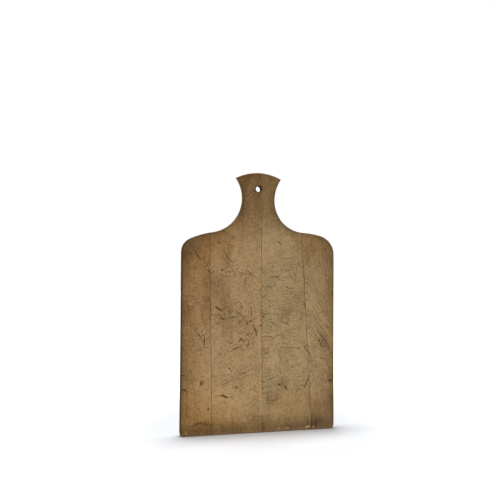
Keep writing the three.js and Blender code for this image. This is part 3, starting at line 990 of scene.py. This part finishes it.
def face_sheet(edge, strokes, step):
    """Triangulates one face."""
    count = len(edge.points)
    rows = [row for stroke in strokes for row in rows_of(stroke)]
    marks = np.vstack(rows)
    row_of = np.repeat(np.arange(len(rows)), [len(row) for row in rows])
    kept = inside(marks, edge)
    kept[kept] = edge_gap(marks[kept], edge) > CLEAR
    plain = np.vstack([edge.points, rows_along(edge), grid_over(edge, step)])
    number = len(plain) + np.cumsum(kept) - 1
    linked = np.flatnonzero(kept[:-1] & kept[1:] & (row_of[:-1] == row_of[1:]))
    lines = [(start, (start + 1) % count) for start in range(count)]
    lines += [(int(number[start]), int(number[start + 1])) for start in linked]
    points = np.vstack([plain, marks[kept]])
    found = delaunay_2d_cdt([Vector(point) for point in points], lines, [], 0, SAME_POINT, True)
    places = np.array([tuple(vert) for vert in found[0]])
    border = np.zeros(count, dtype=int)
    for vert, sources in enumerate(found[3]):
        for source in sources:
            if source < count:
                border[source] = vert
    fence = {frozenset(side) for side in zip(border.tolist(), np.roll(border, -1).tolist())}
    return Sheet(places, shut_in(found[2], fence), border)


print("marks keep", CLEAR, "mm clear of the edge")

# %% [markdown]
# ## The masks of a face
# Each point also gets its masks: dirt, a dark edge of dirt and painted shade, stains and the rest. On the
# front they follow the picture.
# The back isn't seen there, so it gets a few broad clouds of each, from smooth noise, and less use.

# %% Measure the masks
# The edge mask is dirt and painted shade on the rim of the outer arris, and painted shade round the hanging
# hole.
MASKS = ("grime", "edge", "joint_dirt", "stain", "amber", "scrub", "grey", "pale", "use")
RIM_REACH = 1.4
HOLE_SHADE_RIM = 1.5
RIM_ON_HANDLE = (0.6, 315, 350)
RIM_AT_FOOT = (0.7, 9, 1)
JOINT_ON_HANDLE = 0.6
HANDLE_FROM = (325, 345)
HANDLE_TO = (404, 398)
JOINT_CHANGE = 0.6
BACK_USE = 0.45
BACK_CLOUDS = {"stain": (0.5, 55, 91), "amber": (0.9, 70, 95), "scrub": (1.2, 60, 99)}


def rim_dirt_and_shade_share(points):
    """How dark the rim of dirt and painted shade is: less on the handle and at the foot."""
    up = points[:, 1]
    handle = RIM_ON_HANDLE[0] * ramp(up, *RIM_ON_HANDLE[1:])
    foot = RIM_AT_FOOT[0] * ramp(up, *RIM_AT_FOOT[1:])
    return (1 - handle) * (1 - foot)


def joint_dirt(points, gaps, is_front):
    """The dirt along the joints, which hands keep thin on the handle."""
    up = points[:, 1]
    dirt = np.clip(1 - gaps[JOINT] / JOINT_REACH, 0, 1)
    dirt = dirt * (1 - JOINT_ON_HANDLE * ramp(up, *HANDLE_FROM) * ramp(up, *HANDLE_TO))
    dirt *= 1 + JOINT_CHANGE * ripple(points, 18, 83)
    return dirt * (1 - patches(points, CLEAN_JOINTS)) if is_front else dirt


def broad_masks(points, is_front):
    """Stain, amber, scrubbing and greying, as far as they don't follow the edge."""
    if is_front:
        return [patches(points, table) for table in (STAINS, AMBER, SCRUBBED, GREYED)]
    clouds = BACK_CLOUDS.values()
    made = [strength * np.maximum(ripple(points, size, seed), 0) for strength, size, seed in clouds]
    return [*made, np.zeros(len(points))]


def face_of(edge, strokes, step, seed, is_front):
    """One face of a stave: its sheet, its depth below the solid's face, and its masks."""
    sheet = face_sheet(edge, strokes, step)
    gaps = gaps_to(sheet.points, edge)
    marks, grime, pale = carve(sheet.points, strokes)
    depth = wear_depth(sheet.points, gaps, seed, DISH_DEPTH if is_front else 0.0) + marks
    # The dark rim: dirt and painted shade along the outer arris, and painted shade round the hole.
    rim = np.exp(-gaps[OUTER] / RIM_REACH) * rim_dirt_and_shade_share(sheet.points)
    rim = np.maximum(rim, np.exp(-HOLE_SHADE_RIM * gaps[HOLE] / RIM_REACH))
    joint = joint_dirt(sheet.points, gaps, is_front)
    stained, amber, scrub, grey = broad_masks(sheet.points, is_front)
    stained = stain(sheet.points, gaps, is_front) + stained
    used = use(sheet.points) if is_front else np.full(len(sheet.points), BACK_USE)
    return sheet, depth, np.stack([grime, rim, joint, stained, amber, scrub, grey, pale, used])


print("masks:", ", ".join(MASKS))

# %% [markdown]
# ## Closing the stave
# The front and back sheets share the same outline, so a band of quads between their borders closes the
# stave. The masks go on the mesh as attributes, which the materials read.

# %% Build the staves
BACK_GRID_STEP = 6.0
BAND_ROWS = 4
BAND_STAIN = 0.7
# On the band the edge share is dirt and painted shade on the outer sides, nothing in the joints, and painted
# shade on the walls of the hole.
BAND_DIRT_AND_SHADE = (0.6, 0.0, 1.0)


def band_between(front, back, first):
    """Quads from the front border to the back border, through new rows of points in between."""
    rows = [front.border]
    rows += [first + row * len(front.border) + np.arange(len(front.border)) for row in range(BAND_ROWS - 1)]
    rows.append(back.border + len(front.points))
    quads = []
    for near, far in zip(rows, rows[1:]):
        quads += list(zip(near, far, np.roll(far, -1), np.roll(near, -1)))
    return quads


def band_masks(edge, border_masks):
    """The masks of the band round a stave: dirt and painted shade outside, painted shade in the hole, and
    clean in the joints.
    """
    band = border_masks.copy()
    glued = (edge.kinds == JOINT) & (np.roll(edge.kinds, 1) == JOINT)
    kinds = np.where(glued, JOINT, np.where(edge.kinds == HOLE, HOLE, OUTER))
    shares = np.where(kinds == OUTER, rim_dirt_and_shade_share(edge.points), 1.0)
    band[MASKS.index("stain")] = np.where(glued, 0.0, BAND_STAIN)
    band[MASKS.index("edge")] = np.choose(kinds, BAND_DIRT_AND_SHADE) * shares
    band[MASKS.index("grime")] = 0.0
    return band


def worn_mesh(name, seed):
    """The mesh of one worn stave, closed, with its masks."""
    edge = edges[name]
    front, front_depth, front_masks = face_of(edge, front_strokes + scratches[name], GRID_STEP, seed, True)
    back, back_depth, back_masks = face_of(edge, back_strokes[name], BACK_GRID_STEP, seed + 9, False)
    front_y = FRONT_Y + front_depth
    back_y = BACK_Y - back_depth
    places = [
        np.stack([front.points[:, 0], front_y, front.points[:, 1]], axis=1),
        np.stack([back.points[:, 0], back_y, back.points[:, 1]], axis=1),
    ]
    for row in range(1, BAND_ROWS):
        share = row / BAND_ROWS
        middle = front_y[front.border] * (1 - share) + back_y[back.border] * share
        places.append(np.stack([edge.points[:, 0], middle, edge.points[:, 1]], axis=1))
    band = band_masks(edge, front_masks[:, front.border])
    masks = [front_masks, back_masks, *[band] * (BAND_ROWS - 1)]
    first = len(front.points) + len(back.points)
    faces = [tuple(face) for face in front.triangles]
    faces += [tuple(number + len(front.points) for number in reversed(face)) for face in back.triangles]
    faces += [tuple(int(number) for number in quad) for quad in band_between(front, back, first)]
    mesh = bpy.data.meshes.new(name + "_worn")
    mesh.from_pydata((np.vstack(places) * MM).tolist(), [], faces)
    for mask, values in zip(MASKS, np.hstack(masks)):
        mesh.attributes.new(mask, "FLOAT", "POINT").data.foreach_set("value", values.astype(np.float32))
    mesh.validate()
    return mesh


def add_object(name, mesh):
    """Puts a mesh into the scene as an object."""
    made = bpy.data.objects.new(name, mesh)
    bpy.context.scene.collection.objects.link(made)
    return made


meshes = {name: worn_mesh(name, seed) for seed, name in enumerate(STAVES, start=1)}
for name, mesh in meshes.items():
    print(name, len(mesh.vertices), "points,", len(mesh.polygons), "faces")

# %% [markdown]
# ## The dowel bores
# Each dowel lies in a blind bore, half in one stave and half in the next, a little wider than the dowel. The
# bore takes its place and its direction from the dowel's solid. A Boolean modifier cuts all bores of a stave
# at once and is then applied. It needs closed meshes, which the staves are.

# %% Cut the bores
BORE_CLEARANCE = 0.3
BORE_SIDES = 20
SMOOTH_BELOW = radians(32)


def bore_for(tool, node):
    """Adds to a mesh the round bar that makes room for one dowel."""
    corners = np.array([vert.co for vert in frame["nodes"][node].data.vertices]) / MM
    middle = (corners.min(axis=0) + corners.max(axis=0)) / 2
    axis = np.linalg.svd(corners - middle, full_matrices=False)[2][0]
    along = (corners - middle) @ axis
    away = np.linalg.norm(corners - middle - along[:, None] * axis, axis=1)
    turn = Vector((0, 0, 1)).rotation_difference(Vector(axis)).to_matrix().to_4x4()
    turn.translation = Vector(middle) * MM
    radius = (away.max() + BORE_CLEARANCE) * MM
    length = (np.ptp(along) + 2 * BORE_CLEARANCE) * MM
    bmesh.ops.create_cone(
        tool, cap_ends=True, segments=BORE_SIDES, radius1=radius, radius2=radius, depth=length, matrix=turn
    )


tool = bmesh.new()
for dowel in DOWELS:
    bore_for(tool, dowel)
tool_mesh = bpy.data.meshes.new("bore_tool")
tool.to_mesh(tool_mesh)
tool.free()
bore_tool = add_object("bore_tool", tool_mesh)

pieces = {}
for name, mesh in meshes.items():
    piece = add_object(name + "_worn", mesh)
    cut = piece.modifiers.new("dowel bores", "BOOLEAN")
    cut.operation = "DIFFERENCE"
    cut.solver = "MANIFOLD"
    cut.object = bore_tool
    bpy.context.view_layer.update()
    finished = bpy.data.meshes.new_from_object(piece.evaluated_get(bpy.context.evaluated_depsgraph_get()))
    piece.modifiers.clear()
    piece.data = finished
    finished.shade_smooth()
    finished.set_sharp_from_angle(angle=SMOOTH_BELOW)
    pieces[name] = piece
    print(name, "with bores:", len(finished.polygons), "faces,", len(finished.attributes), "attributes")
bpy.data.objects.remove(bore_tool)

# %% [markdown]
# ## Node groups for the wood
# All staves share the same effects, so each effect is one node group with named inputs. A small helper adds
# a node, fills its inputs and hands back its output, which keeps the graphs readable as sums.

# %% A helper for node graphs
FLOAT, COLOUR, VECTOR = "NodeSocketFloat", "NodeSocketColor", "NodeSocketVector"


class Graph:
    """Writes a node tree: each call adds one node and gives back one of its outputs."""

    def __init__(self, tree):
        self.tree = tree

    def node(self, kind, inputs=(), **settings):
        """Adds a node, sets it up, fills or links its inputs, and gives back all its outputs."""
        made = self.tree.nodes.new(kind)
        for name, value in settings.items():
            setattr(made, name, value)
        for name, value in dict(inputs).items():
            if isinstance(value, bpy.types.NodeSocket):
                self.tree.links.new(value, made.inputs[name])
            else:
                made.inputs[name].default_value = value
        return made.outputs

    def add(self, kind, inputs=(), output=0, **settings):
        """Adds a node and gives back one of its outputs."""
        return self.node(kind, inputs, **settings)[output]

    def link(self, value, socket):
        """Joins an output to an input."""
        self.tree.links.new(value, socket)

    def math(self, operation, first, second=0.0):
        """One sum of two numbers."""
        return self.add("ShaderNodeMath", {0: first, 1: second}, operation=operation)

    def vector(self, operation, first, second):
        """One sum of two places."""
        return self.add("ShaderNodeVectorMath", {0: first, 1: second}, operation=operation)

    def place(self):
        """The place on the board, in millimetres."""
        place = self.add("ShaderNodeTexCoord", output="Object")
        return self.add("ShaderNodeVectorMath", {0: place, 3: 1 / MM}, operation="SCALE")

    def turned(self, place, angle):
        """A place turned in the plane of the board."""
        return self.add("ShaderNodeVectorRotate", {"Vector": place, "Angle": angle}, rotation_type="Y_AXIS")

    def fit(self, value, low, high, to_low=0.0, to_high=1.0):
        """A value brought smoothly from one range to another."""
        limits = {"Value": value, "From Min": low, "From Max": high, "To Min": to_low, "To Max": to_high}
        return self.add("ShaderNodeMapRange", limits, interpolation_type="SMOOTHSTEP")

    def mix(self, factor, first, second):
        """Two colours mixed."""
        return self.add("ShaderNodeMix", {0: factor, 6: first, 7: second}, 2, data_type="RGBA")

    def tint(self, factor, first, second):
        """One colour darkened by another, which keeps its pattern."""
        factor = self.math("MINIMUM", factor, 1.0)
        sockets = {0: factor, 6: first, 7: second}
        return self.add("ShaderNodeMix", sockets, 2, data_type="RGBA", blend_type="MULTIPLY")

    def mask(self, name):
        """One of the masks on the mesh."""
        return self.add("ShaderNodeAttribute", output="Fac", attribute_name=name)

    def effect(self, tree, inputs):
        """Places a node group and gives back all its outputs."""
        return self.node("ShaderNodeGroup", inputs, node_tree=tree)

    def seen(self):
        """Which rays show the background: those of the camera, of mirrors and of glass."""
        rays = self.node("ShaderNodeLightPath")
        seen = self.math("MAXIMUM", rays["Is Camera Ray"], rays["Is Glossy Ray"])
        return self.math("MAXIMUM", seen, rays["Is Transmission Ray"])


def group(name, inputs, outputs):
    """A new node group with named sockets, and the graph inside it."""
    tree = bpy.data.node_groups.new(name, "ShaderNodeTree")
    for socket, (kind, value) in inputs.items():
        made = tree.interface.new_socket(socket, in_out="INPUT", socket_type=kind)
        made.default_value = value
    for socket, kind in outputs.items():
        tree.interface.new_socket(socket, in_out="OUTPUT", socket_type=kind)
    return Graph(tree), tree.nodes.new("NodeGroupInput").outputs, tree.nodes.new("NodeGroupOutput").inputs


print("graph helper ready for sockets of", FLOAT, COLOUR, VECTOR)

# %% [markdown]
# ## Grain
# Wood is a bundle of long fibres, so its figure is noise that is drawn out along the grain. One wide layer
# gives the bands of the growth rings and a narrow one the fibres. Old scrubbed wood hides much of that under
# a stipple of crossed cuts and under cloudy patches. The noise fills the solid, so the end grain at the foot
# comes out right, as short figure.

# %% Make the grain group
CURVE_REACH = 175.0
CURVE_START = 300.0
SWAY_SCALE = 0.012
SWAY = (9, 9, 0)
MIDDLE_TONES = (0.3, 0.7)
LAYERS = {
    "Bands": (9, 260, 2.0, 0.55),
    "Fibres": (0.7, 16, 3.0, 0.55),
    "Stipple": (1.1, 1.5, 2.0, 0.7),
    "Cloud": (26, 42, 3.0, 0.55),
}
graph, given, results = group(
    "Wood grain",
    {"Shift": (VECTOR, (0, 0, 0)), "Slant": (FLOAT, 0.0), "Curve": (FLOAT, 0.0)},
    dict.fromkeys(LAYERS, FLOAT),
)
place = graph.place()
height = graph.add("ShaderNodeSeparateXYZ", {0: place}, "Z")
fall = graph.math("MAXIMUM", graph.math("SUBTRACT", height, CURVE_START), -CURVE_REACH)
bow = graph.math("MULTIPLY", graph.math("MULTIPLY", fall, fall), given["Curve"])
place = graph.vector("ADD", place, graph.add("ShaderNodeCombineXYZ", {"X": bow}))
place = graph.turned(graph.vector("ADD", place, given["Shift"]), given["Slant"])
sway = graph.add("ShaderNodeTexNoise", {"Vector": place, "Scale": SWAY_SCALE, "Detail": 1.0}, "Color")
swayed = graph.vector("ADD", place, graph.vector("MULTIPLY", sway, SWAY))


def drawn_out(across, along, detail, roughness):
    """Noise whose blots are so many millimetres across and along the grain."""
    squeezed = graph.vector("MULTIPLY", swayed, (1 / across, 1 / across, 1 / along))
    settings = {"Vector": squeezed, "Scale": 1.0, "Detail": detail, "Roughness": roughness}
    return graph.add("ShaderNodeTexNoise", settings)


for layer, sizes in LAYERS.items():
    graph.link(graph.fit(drawn_out(*sizes), *MIDDLE_TONES), results[layer])
wood_grain = graph.tree
print("group:", wood_grain.name)

# %% [markdown]
# ## Hairlines
# The finest scratches are too many to model. A cell texture stretched in one direction makes short dashes:
# each cell has one point, and whatever lies close to it in the stretched space is a thin, long ellipse. A
# second random number leaves most cells out.

# %% Make the hairline group
DASH_EDGE = (0.15, 0.06)
DASH_CHANCE = (0.45, 0.9)
graph, given, results = group(
    "Hairlines",
    {"Angle": (FLOAT, 0.0), "Length": (FLOAT, 50.0), "Gap": (FLOAT, 2.8), "Shift": (VECTOR, (0, 0, 0))},
    {"Dashes": FLOAT},
)
place = graph.turned(graph.vector("ADD", graph.place(), given["Shift"]), given["Angle"])
split = graph.node("ShaderNodeSeparateXYZ", {0: place})
along = graph.math("DIVIDE", split["X"], given["Length"])
across = graph.math("DIVIDE", split["Z"], given["Gap"])
cells = graph.add("ShaderNodeCombineXYZ", {"X": along, "Y": across})
cell = graph.node("ShaderNodeTexVoronoi", {"Vector": cells, "Scale": 1.0}, voronoi_dimensions="2D")
chance = graph.add("ShaderNodeSeparateColor", {0: cell["Color"]})
dash = graph.fit(cell["Distance"], *DASH_EDGE)
graph.link(graph.math("MULTIPLY", dash, graph.fit(chance, *DASH_CHANCE)), results["Dashes"])
hairlines = graph.tree
print("group:", hairlines.name)

# %% [markdown]
# ## Age, use and painted rim shade
# Scrubbing bleaches wood, water and stains darken it, the handle and a band along the edges are darker, and
# dirt collects in the joints and in the cuts. The dark rim along the arris is dirt and painted shade, and in
# the hanging hole it is painted shade. One group lays all this over the bare wood, each where its mask says.
# A stain multiplies the colour, so that the grain shows through it, while dirt covers it.

# %% Make the group for age, use and painted rim shade
WHITE_LEVEL = 255.0


def tone(red, green, blue):
    """A colour as the screen shows it, from 0 to 255, as the light that Blender works with."""
    screen = np.array((red, green, blue)) / WHITE_LEVEL
    light = np.where(screen <= 0.04045, screen / 12.92, ((screen + 0.055) / 1.055) ** 2.4)
    return (*light.tolist(), 1.0)


GRIME_TONE = tone(56, 33, 12)
# The tone of the dark rim: dirt and painted shade on the arris, painted shade on the walls of the hanging
# hole.
RIM_DIRT_AND_SHADE_TONE = tone(42, 28, 13)
SOIL_TONE = tone(117, 92, 61)
LINE_TONE = tone(84, 62, 37)
GREY_TONE = tone(88, 72, 54)
SCRUB_TONE = tone(184, 154, 112)
PALE_TONE = tone(204, 176, 132)
STAIN_TINT = (0.35, 0.26, 0.15, 1.0)
AMBER_TINT = (0.98, 0.88, 0.68, 1.0)
SCRUB_SHARE = 0.6
SOIL_SHARE = 0.3
PALE_SHARE = 0.7
JOINT_SHARE = 0.9
DIRT_SHARE = 0.78
RAGGED_STAIN = (1.12, 0.88)
USED_SHARE = (0.38, 0.88)
RAISED_WHERE_CLEAN = (0, 0.8, 0.6, 0.0)
graph, given, results = group(
    "Age, use and painted rim shade",
    {"Wood": (COLOUR, (1, 1, 1, 1)), "Cloud": (FLOAT, 0.5), "Dashes": (FLOAT, 0.0), "Raised": (FLOAT, 0.0)},
    {"Colour": COLOUR, "Dirt": FLOAT},
)
colour = graph.mix(graph.math("MULTIPLY", graph.mask("scrub"), SCRUB_SHARE), given["Wood"], SCRUB_TONE)
colour = graph.tint(graph.mask("amber"), colour, AMBER_TINT)
ragged = graph.math("MULTIPLY", graph.mask("stain"), graph.fit(given["Cloud"], 0, 1, *RAGGED_STAIN))
colour = graph.tint(ragged, colour, STAIN_TINT)
colour = graph.mix(graph.math("MULTIPLY", graph.mask("stain"), SOIL_SHARE), colour, SOIL_TONE)
colour = graph.mix(graph.mask("grey"), colour, GREY_TONE)
used = graph.fit(graph.mask("use"), 0, 1, *USED_SHARE)
colour = graph.mix(graph.math("MULTIPLY", given["Dashes"], used), colour, LINE_TONE)
clean = graph.fit(graph.mask("stain"), *RAISED_WHERE_CLEAN)
raised = graph.math("MULTIPLY", given["Raised"], graph.math("MULTIPLY", used, clean))
pale = graph.math("MULTIPLY", graph.mask("pale"), PALE_SHARE)
colour = graph.mix(graph.math("MAXIMUM", raised, pale), colour, PALE_TONE)
joints = graph.math("MULTIPLY", graph.mask("joint_dirt"), JOINT_SHARE)
dirt = graph.math("MULTIPLY", graph.math("MAXIMUM", joints, graph.mask("grime")), DIRT_SHARE)
colour = graph.mix(dirt, colour, GRIME_TONE)
# The edge mask paints the dark rim: dirt and painted shade on the arris, painted shade in the hanging hole.
graph.link(graph.mix(graph.mask("edge"), colour, RIM_DIRT_AND_SHADE_TONE), results["Colour"])
graph.link(dirt, results["Dirt"])
age_use_and_rim_shade = graph.tree
print("group:", age_use_and_rim_shade.name)

# %% [markdown]
# ## The wood of the staves
# Each stave has its own pair of wood tones, its own slant of grain and its own directions of scratches. The
# shader itself stays in the material, and the groups only feed it colours, masks and heights.

# %% Finish the staves
Wood = namedtuple("Wood", "pale dark slant curve bands fibres stipple")
WOODS = {
    "left_stave": Wood(tone(170, 136, 92), tone(126, 97, 62), 0.6, 0.0, 0.08, 0.2, 0.62),
    "left_centre_stave": Wood(tone(181, 150, 107), tone(138, 110, 75), -0.8, 0.0, 0.1, 0.18, 0.52),
    "right_centre_stave": Wood(tone(176, 149, 109), tone(141, 117, 83), 0.3, 0.0, 0.04, 0.2, 0.42),
    "right_stave": Wood(tone(179, 150, 109), tone(133, 108, 76), 10.0, -0.0015, 0.1, 0.22, 0.48),
}
CLOUD_SHARE = 0.18
HAIRLINE_ANGLES = {
    "left_stave": (75, -60, 20, -20, 50),
    "left_centre_stave": (28, -42, 10, 36, -30),
    "right_centre_stave": (2, -5, 9, 30, -40),
    "right_stave": (-52, -65, 30, 10, 75),
}
RAISED_ANGLES = {
    "left_stave": (70, -50),
    "left_centre_stave": (24, -38),
    "right_centre_stave": (4, -25),
    "right_stave": (-48, 20),
}
GRAIN_SHIFT = (310.0, 170.0, 520.0)
FIGURE_TONES = (0.28, 0.72)
ROUGHNESS = (0.72, 0.58)
DIRT_ROUGHNESS = 0.2
FIBRE_RELIEF = 0.5
BUMP_STRENGTH = 0.5
BUMP_DEPTH = 0.12
SHINE = 0.03


def new_material(name):
    """A new material, the graph that writes its nodes, and the inputs of its shader."""
    material = bpy.data.materials.new(name)
    material.use_nodes = True
    return material, Graph(material.node_tree), material.node_tree.nodes["Principled BSDF"].inputs


def many_hairlines(graph, turns, shift):
    """Hairlines in several directions."""
    dashes = 0.0
    for turn in turns:
        lines = graph.effect(hairlines, {"Angle": radians(turn), "Shift": shift})
        dashes = graph.math("MAXIMUM", dashes, lines["Dashes"])
    return dashes


def stave_material(name, number):
    """The aged wood of one stave."""
    look = WOODS[name]
    material, graph, shader = new_material(name + "_wood")
    shift = tuple(step * number for step in GRAIN_SHIFT)
    grain_place = {"Shift": shift, "Slant": radians(look.slant), "Curve": look.curve}
    grain = graph.effect(wood_grain, grain_place)
    shares = {"Bands": look.bands, "Fibres": look.fibres, "Stipple": look.stipple, "Cloud": CLOUD_SHARE}
    figure = 0.0
    for layer, share in shares.items():
        figure = graph.math("ADD", figure, graph.math("MULTIPLY", grain[layer], share / sum(shares.values())))
    wood = graph.mix(graph.fit(figure, *FIGURE_TONES), look.dark, look.pale)
    dashes = many_hairlines(graph, HAIRLINE_ANGLES[name], shift)
    raised = many_hairlines(graph, RAISED_ANGLES[name], shift[::-1])
    marks = {"Dashes": dashes, "Raised": raised}
    aged = graph.effect(age_use_and_rim_shade, {"Wood": wood, "Cloud": grain["Cloud"], **marks})
    graph.link(aged["Colour"], shader["Base Color"])
    dirt = graph.math("MULTIPLY", aged["Dirt"], DIRT_ROUGHNESS)
    graph.link(graph.math("ADD", graph.fit(figure, 0.0, 1.0, *ROUGHNESS), dirt), shader["Roughness"])
    height = graph.math("SUBTRACT", graph.math("MULTIPLY", grain["Fibres"], FIBRE_RELIEF), dashes)
    relief = {"Strength": BUMP_STRENGTH, "Distance": BUMP_DEPTH * MM, "Height": height}
    graph.link(graph.add("ShaderNodeBump", relief), shader["Normal"])
    shader["Specular IOR Level"].default_value = SHINE
    return material


for number, (name, piece) in enumerate(pieces.items(), start=1):
    piece.data.materials.clear()
    piece.data.materials.append(stave_material(name, number))
    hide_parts(name)
    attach(piece, "root")
print("finished staves:", list(pieces))

# %% [markdown]
# ## The dowels
# The dowels are turned hardwood pegs, sealed inside the board, so they have kept their pale colour. They use
# the same grain group with plain, clean tones.

# %% Finish the dowels
DOWEL_TONES = (tone(158, 126, 88), tone(196, 166, 124))
DOWEL_ROUGHNESS = (0.7, 0.85)
dowel_wood, graph, shader = new_material("dowel_wood")
grain = graph.effect(wood_grain, {"Slant": radians(90), "Shift": (40.0, 900.0, 0.0)})
graph.link(graph.mix(grain["Fibres"], *DOWEL_TONES), shader["Base Color"])
graph.link(graph.fit(grain["Stipple"], 0, 1, *DOWEL_ROUGHNESS), shader["Roughness"])
for dowel in DOWELS:
    solid = frame["nodes"][dowel].data
    solid.materials.clear()
    solid.materials.append(dowel_wood)
print("finished dowels:", len(DOWELS))

# %% [markdown]
# ## The floor
# The board stands on a white ground. The floor is white paint. Further out it also glows for the camera
# alone, so it meets the white backdrop without a line and without more light on the board.

# %% Lay the floor
FLOOR_SIDE = 8.0
FLOOR_WHITE = (0.775, 0.79, 0.81, 1.0)
FADE_NEAR = 0.16
FADE_FAR = 0.5

floor_mesh = bpy.data.meshes.new("floor")
corner = FLOOR_SIDE / 2
corners = [(x * corner, y * corner, 0) for x, y in ((-1, -1), (1, -1), (1, 1), (-1, 1))]
floor_mesh.from_pydata(corners, [], [(0, 1, 2, 3)])
floor = add_object("floor", floor_mesh)
floor_paint = bpy.data.materials.new("floor_paint")
floor_paint.use_nodes = True
floor_paint.node_tree.nodes.clear()
graph = Graph(floor_paint.node_tree)
paint = graph.add("ShaderNodeBsdfDiffuse", {"Color": FLOOR_WHITE})
place = graph.add("ShaderNodeTexCoord", output="Object")
away = graph.add("ShaderNodeVectorMath", {0: place}, "Value", operation="LENGTH")
lift = graph.math("MULTIPLY", graph.seen(), graph.fit(away, FADE_NEAR, FADE_FAR))
glow = graph.add("ShaderNodeEmission", {"Strength": lift})
both = graph.add("ShaderNodeAddShader", {0: paint, 1: glow})
floor_end = graph.tree.nodes.new("ShaderNodeOutputMaterial")
graph.link(both, floor_end.inputs["Surface"])
floor_mesh.materials.append(floor_paint)
print("floor", FLOOR_SIDE, "m square")

# %% [markdown]
# ## The light
# The light of the picture is soft and even. A wide lamp overhead lays the soft shadow round the foot, and two
# big lamps in front light the face, because small ones would draw hard shadows in the cuts. The world adds a
# little light from all round, and the camera sees it as plain white.

# %% Set the lights
SKY_LEVEL = 0.28
BOARD_MIDDLE = Vector((0, 0, 0.2))
LAMPS = {
    "overhead": ((-0.06, 0.115, 2.0), (0.62, 0.38), 36.0),
    "key": ((-1.0, -1.9, 0.5), (1.6, 1.6), 18.5),
    "fill": ((1.3, -1.6, 0.45), (1.4, 1.4), 9.5),
}
world = bpy.data.worlds.new("studio")
bpy.context.scene.world = world
world.use_nodes = True
graph = Graph(world.node_tree)
sky = world.node_tree.nodes["Background"]
sky.inputs["Color"].default_value = (1, 1, 1, 1)
graph.link(graph.fit(graph.seen(), 0, 1, SKY_LEVEL, 1.0), sky.inputs["Strength"])
for name, (spot, size, power) in LAMPS.items():
    lamp = bpy.data.lights.new(name, "AREA")
    lamp.shape = "RECTANGLE"
    lamp.size, lamp.size_y = size
    lamp.energy = power
    made = bpy.data.objects.new(name, lamp)
    made.location = spot
    made.rotation_euler = (BOARD_MIDDLE - Vector(spot)).to_track_quat("-Z", "Y").to_euler()
    bpy.context.scene.collection.objects.link(made)
bpy.context.scene.view_settings.view_transform = "Standard"
print("lamps:", list(LAMPS), "sky", SKY_LEVEL)
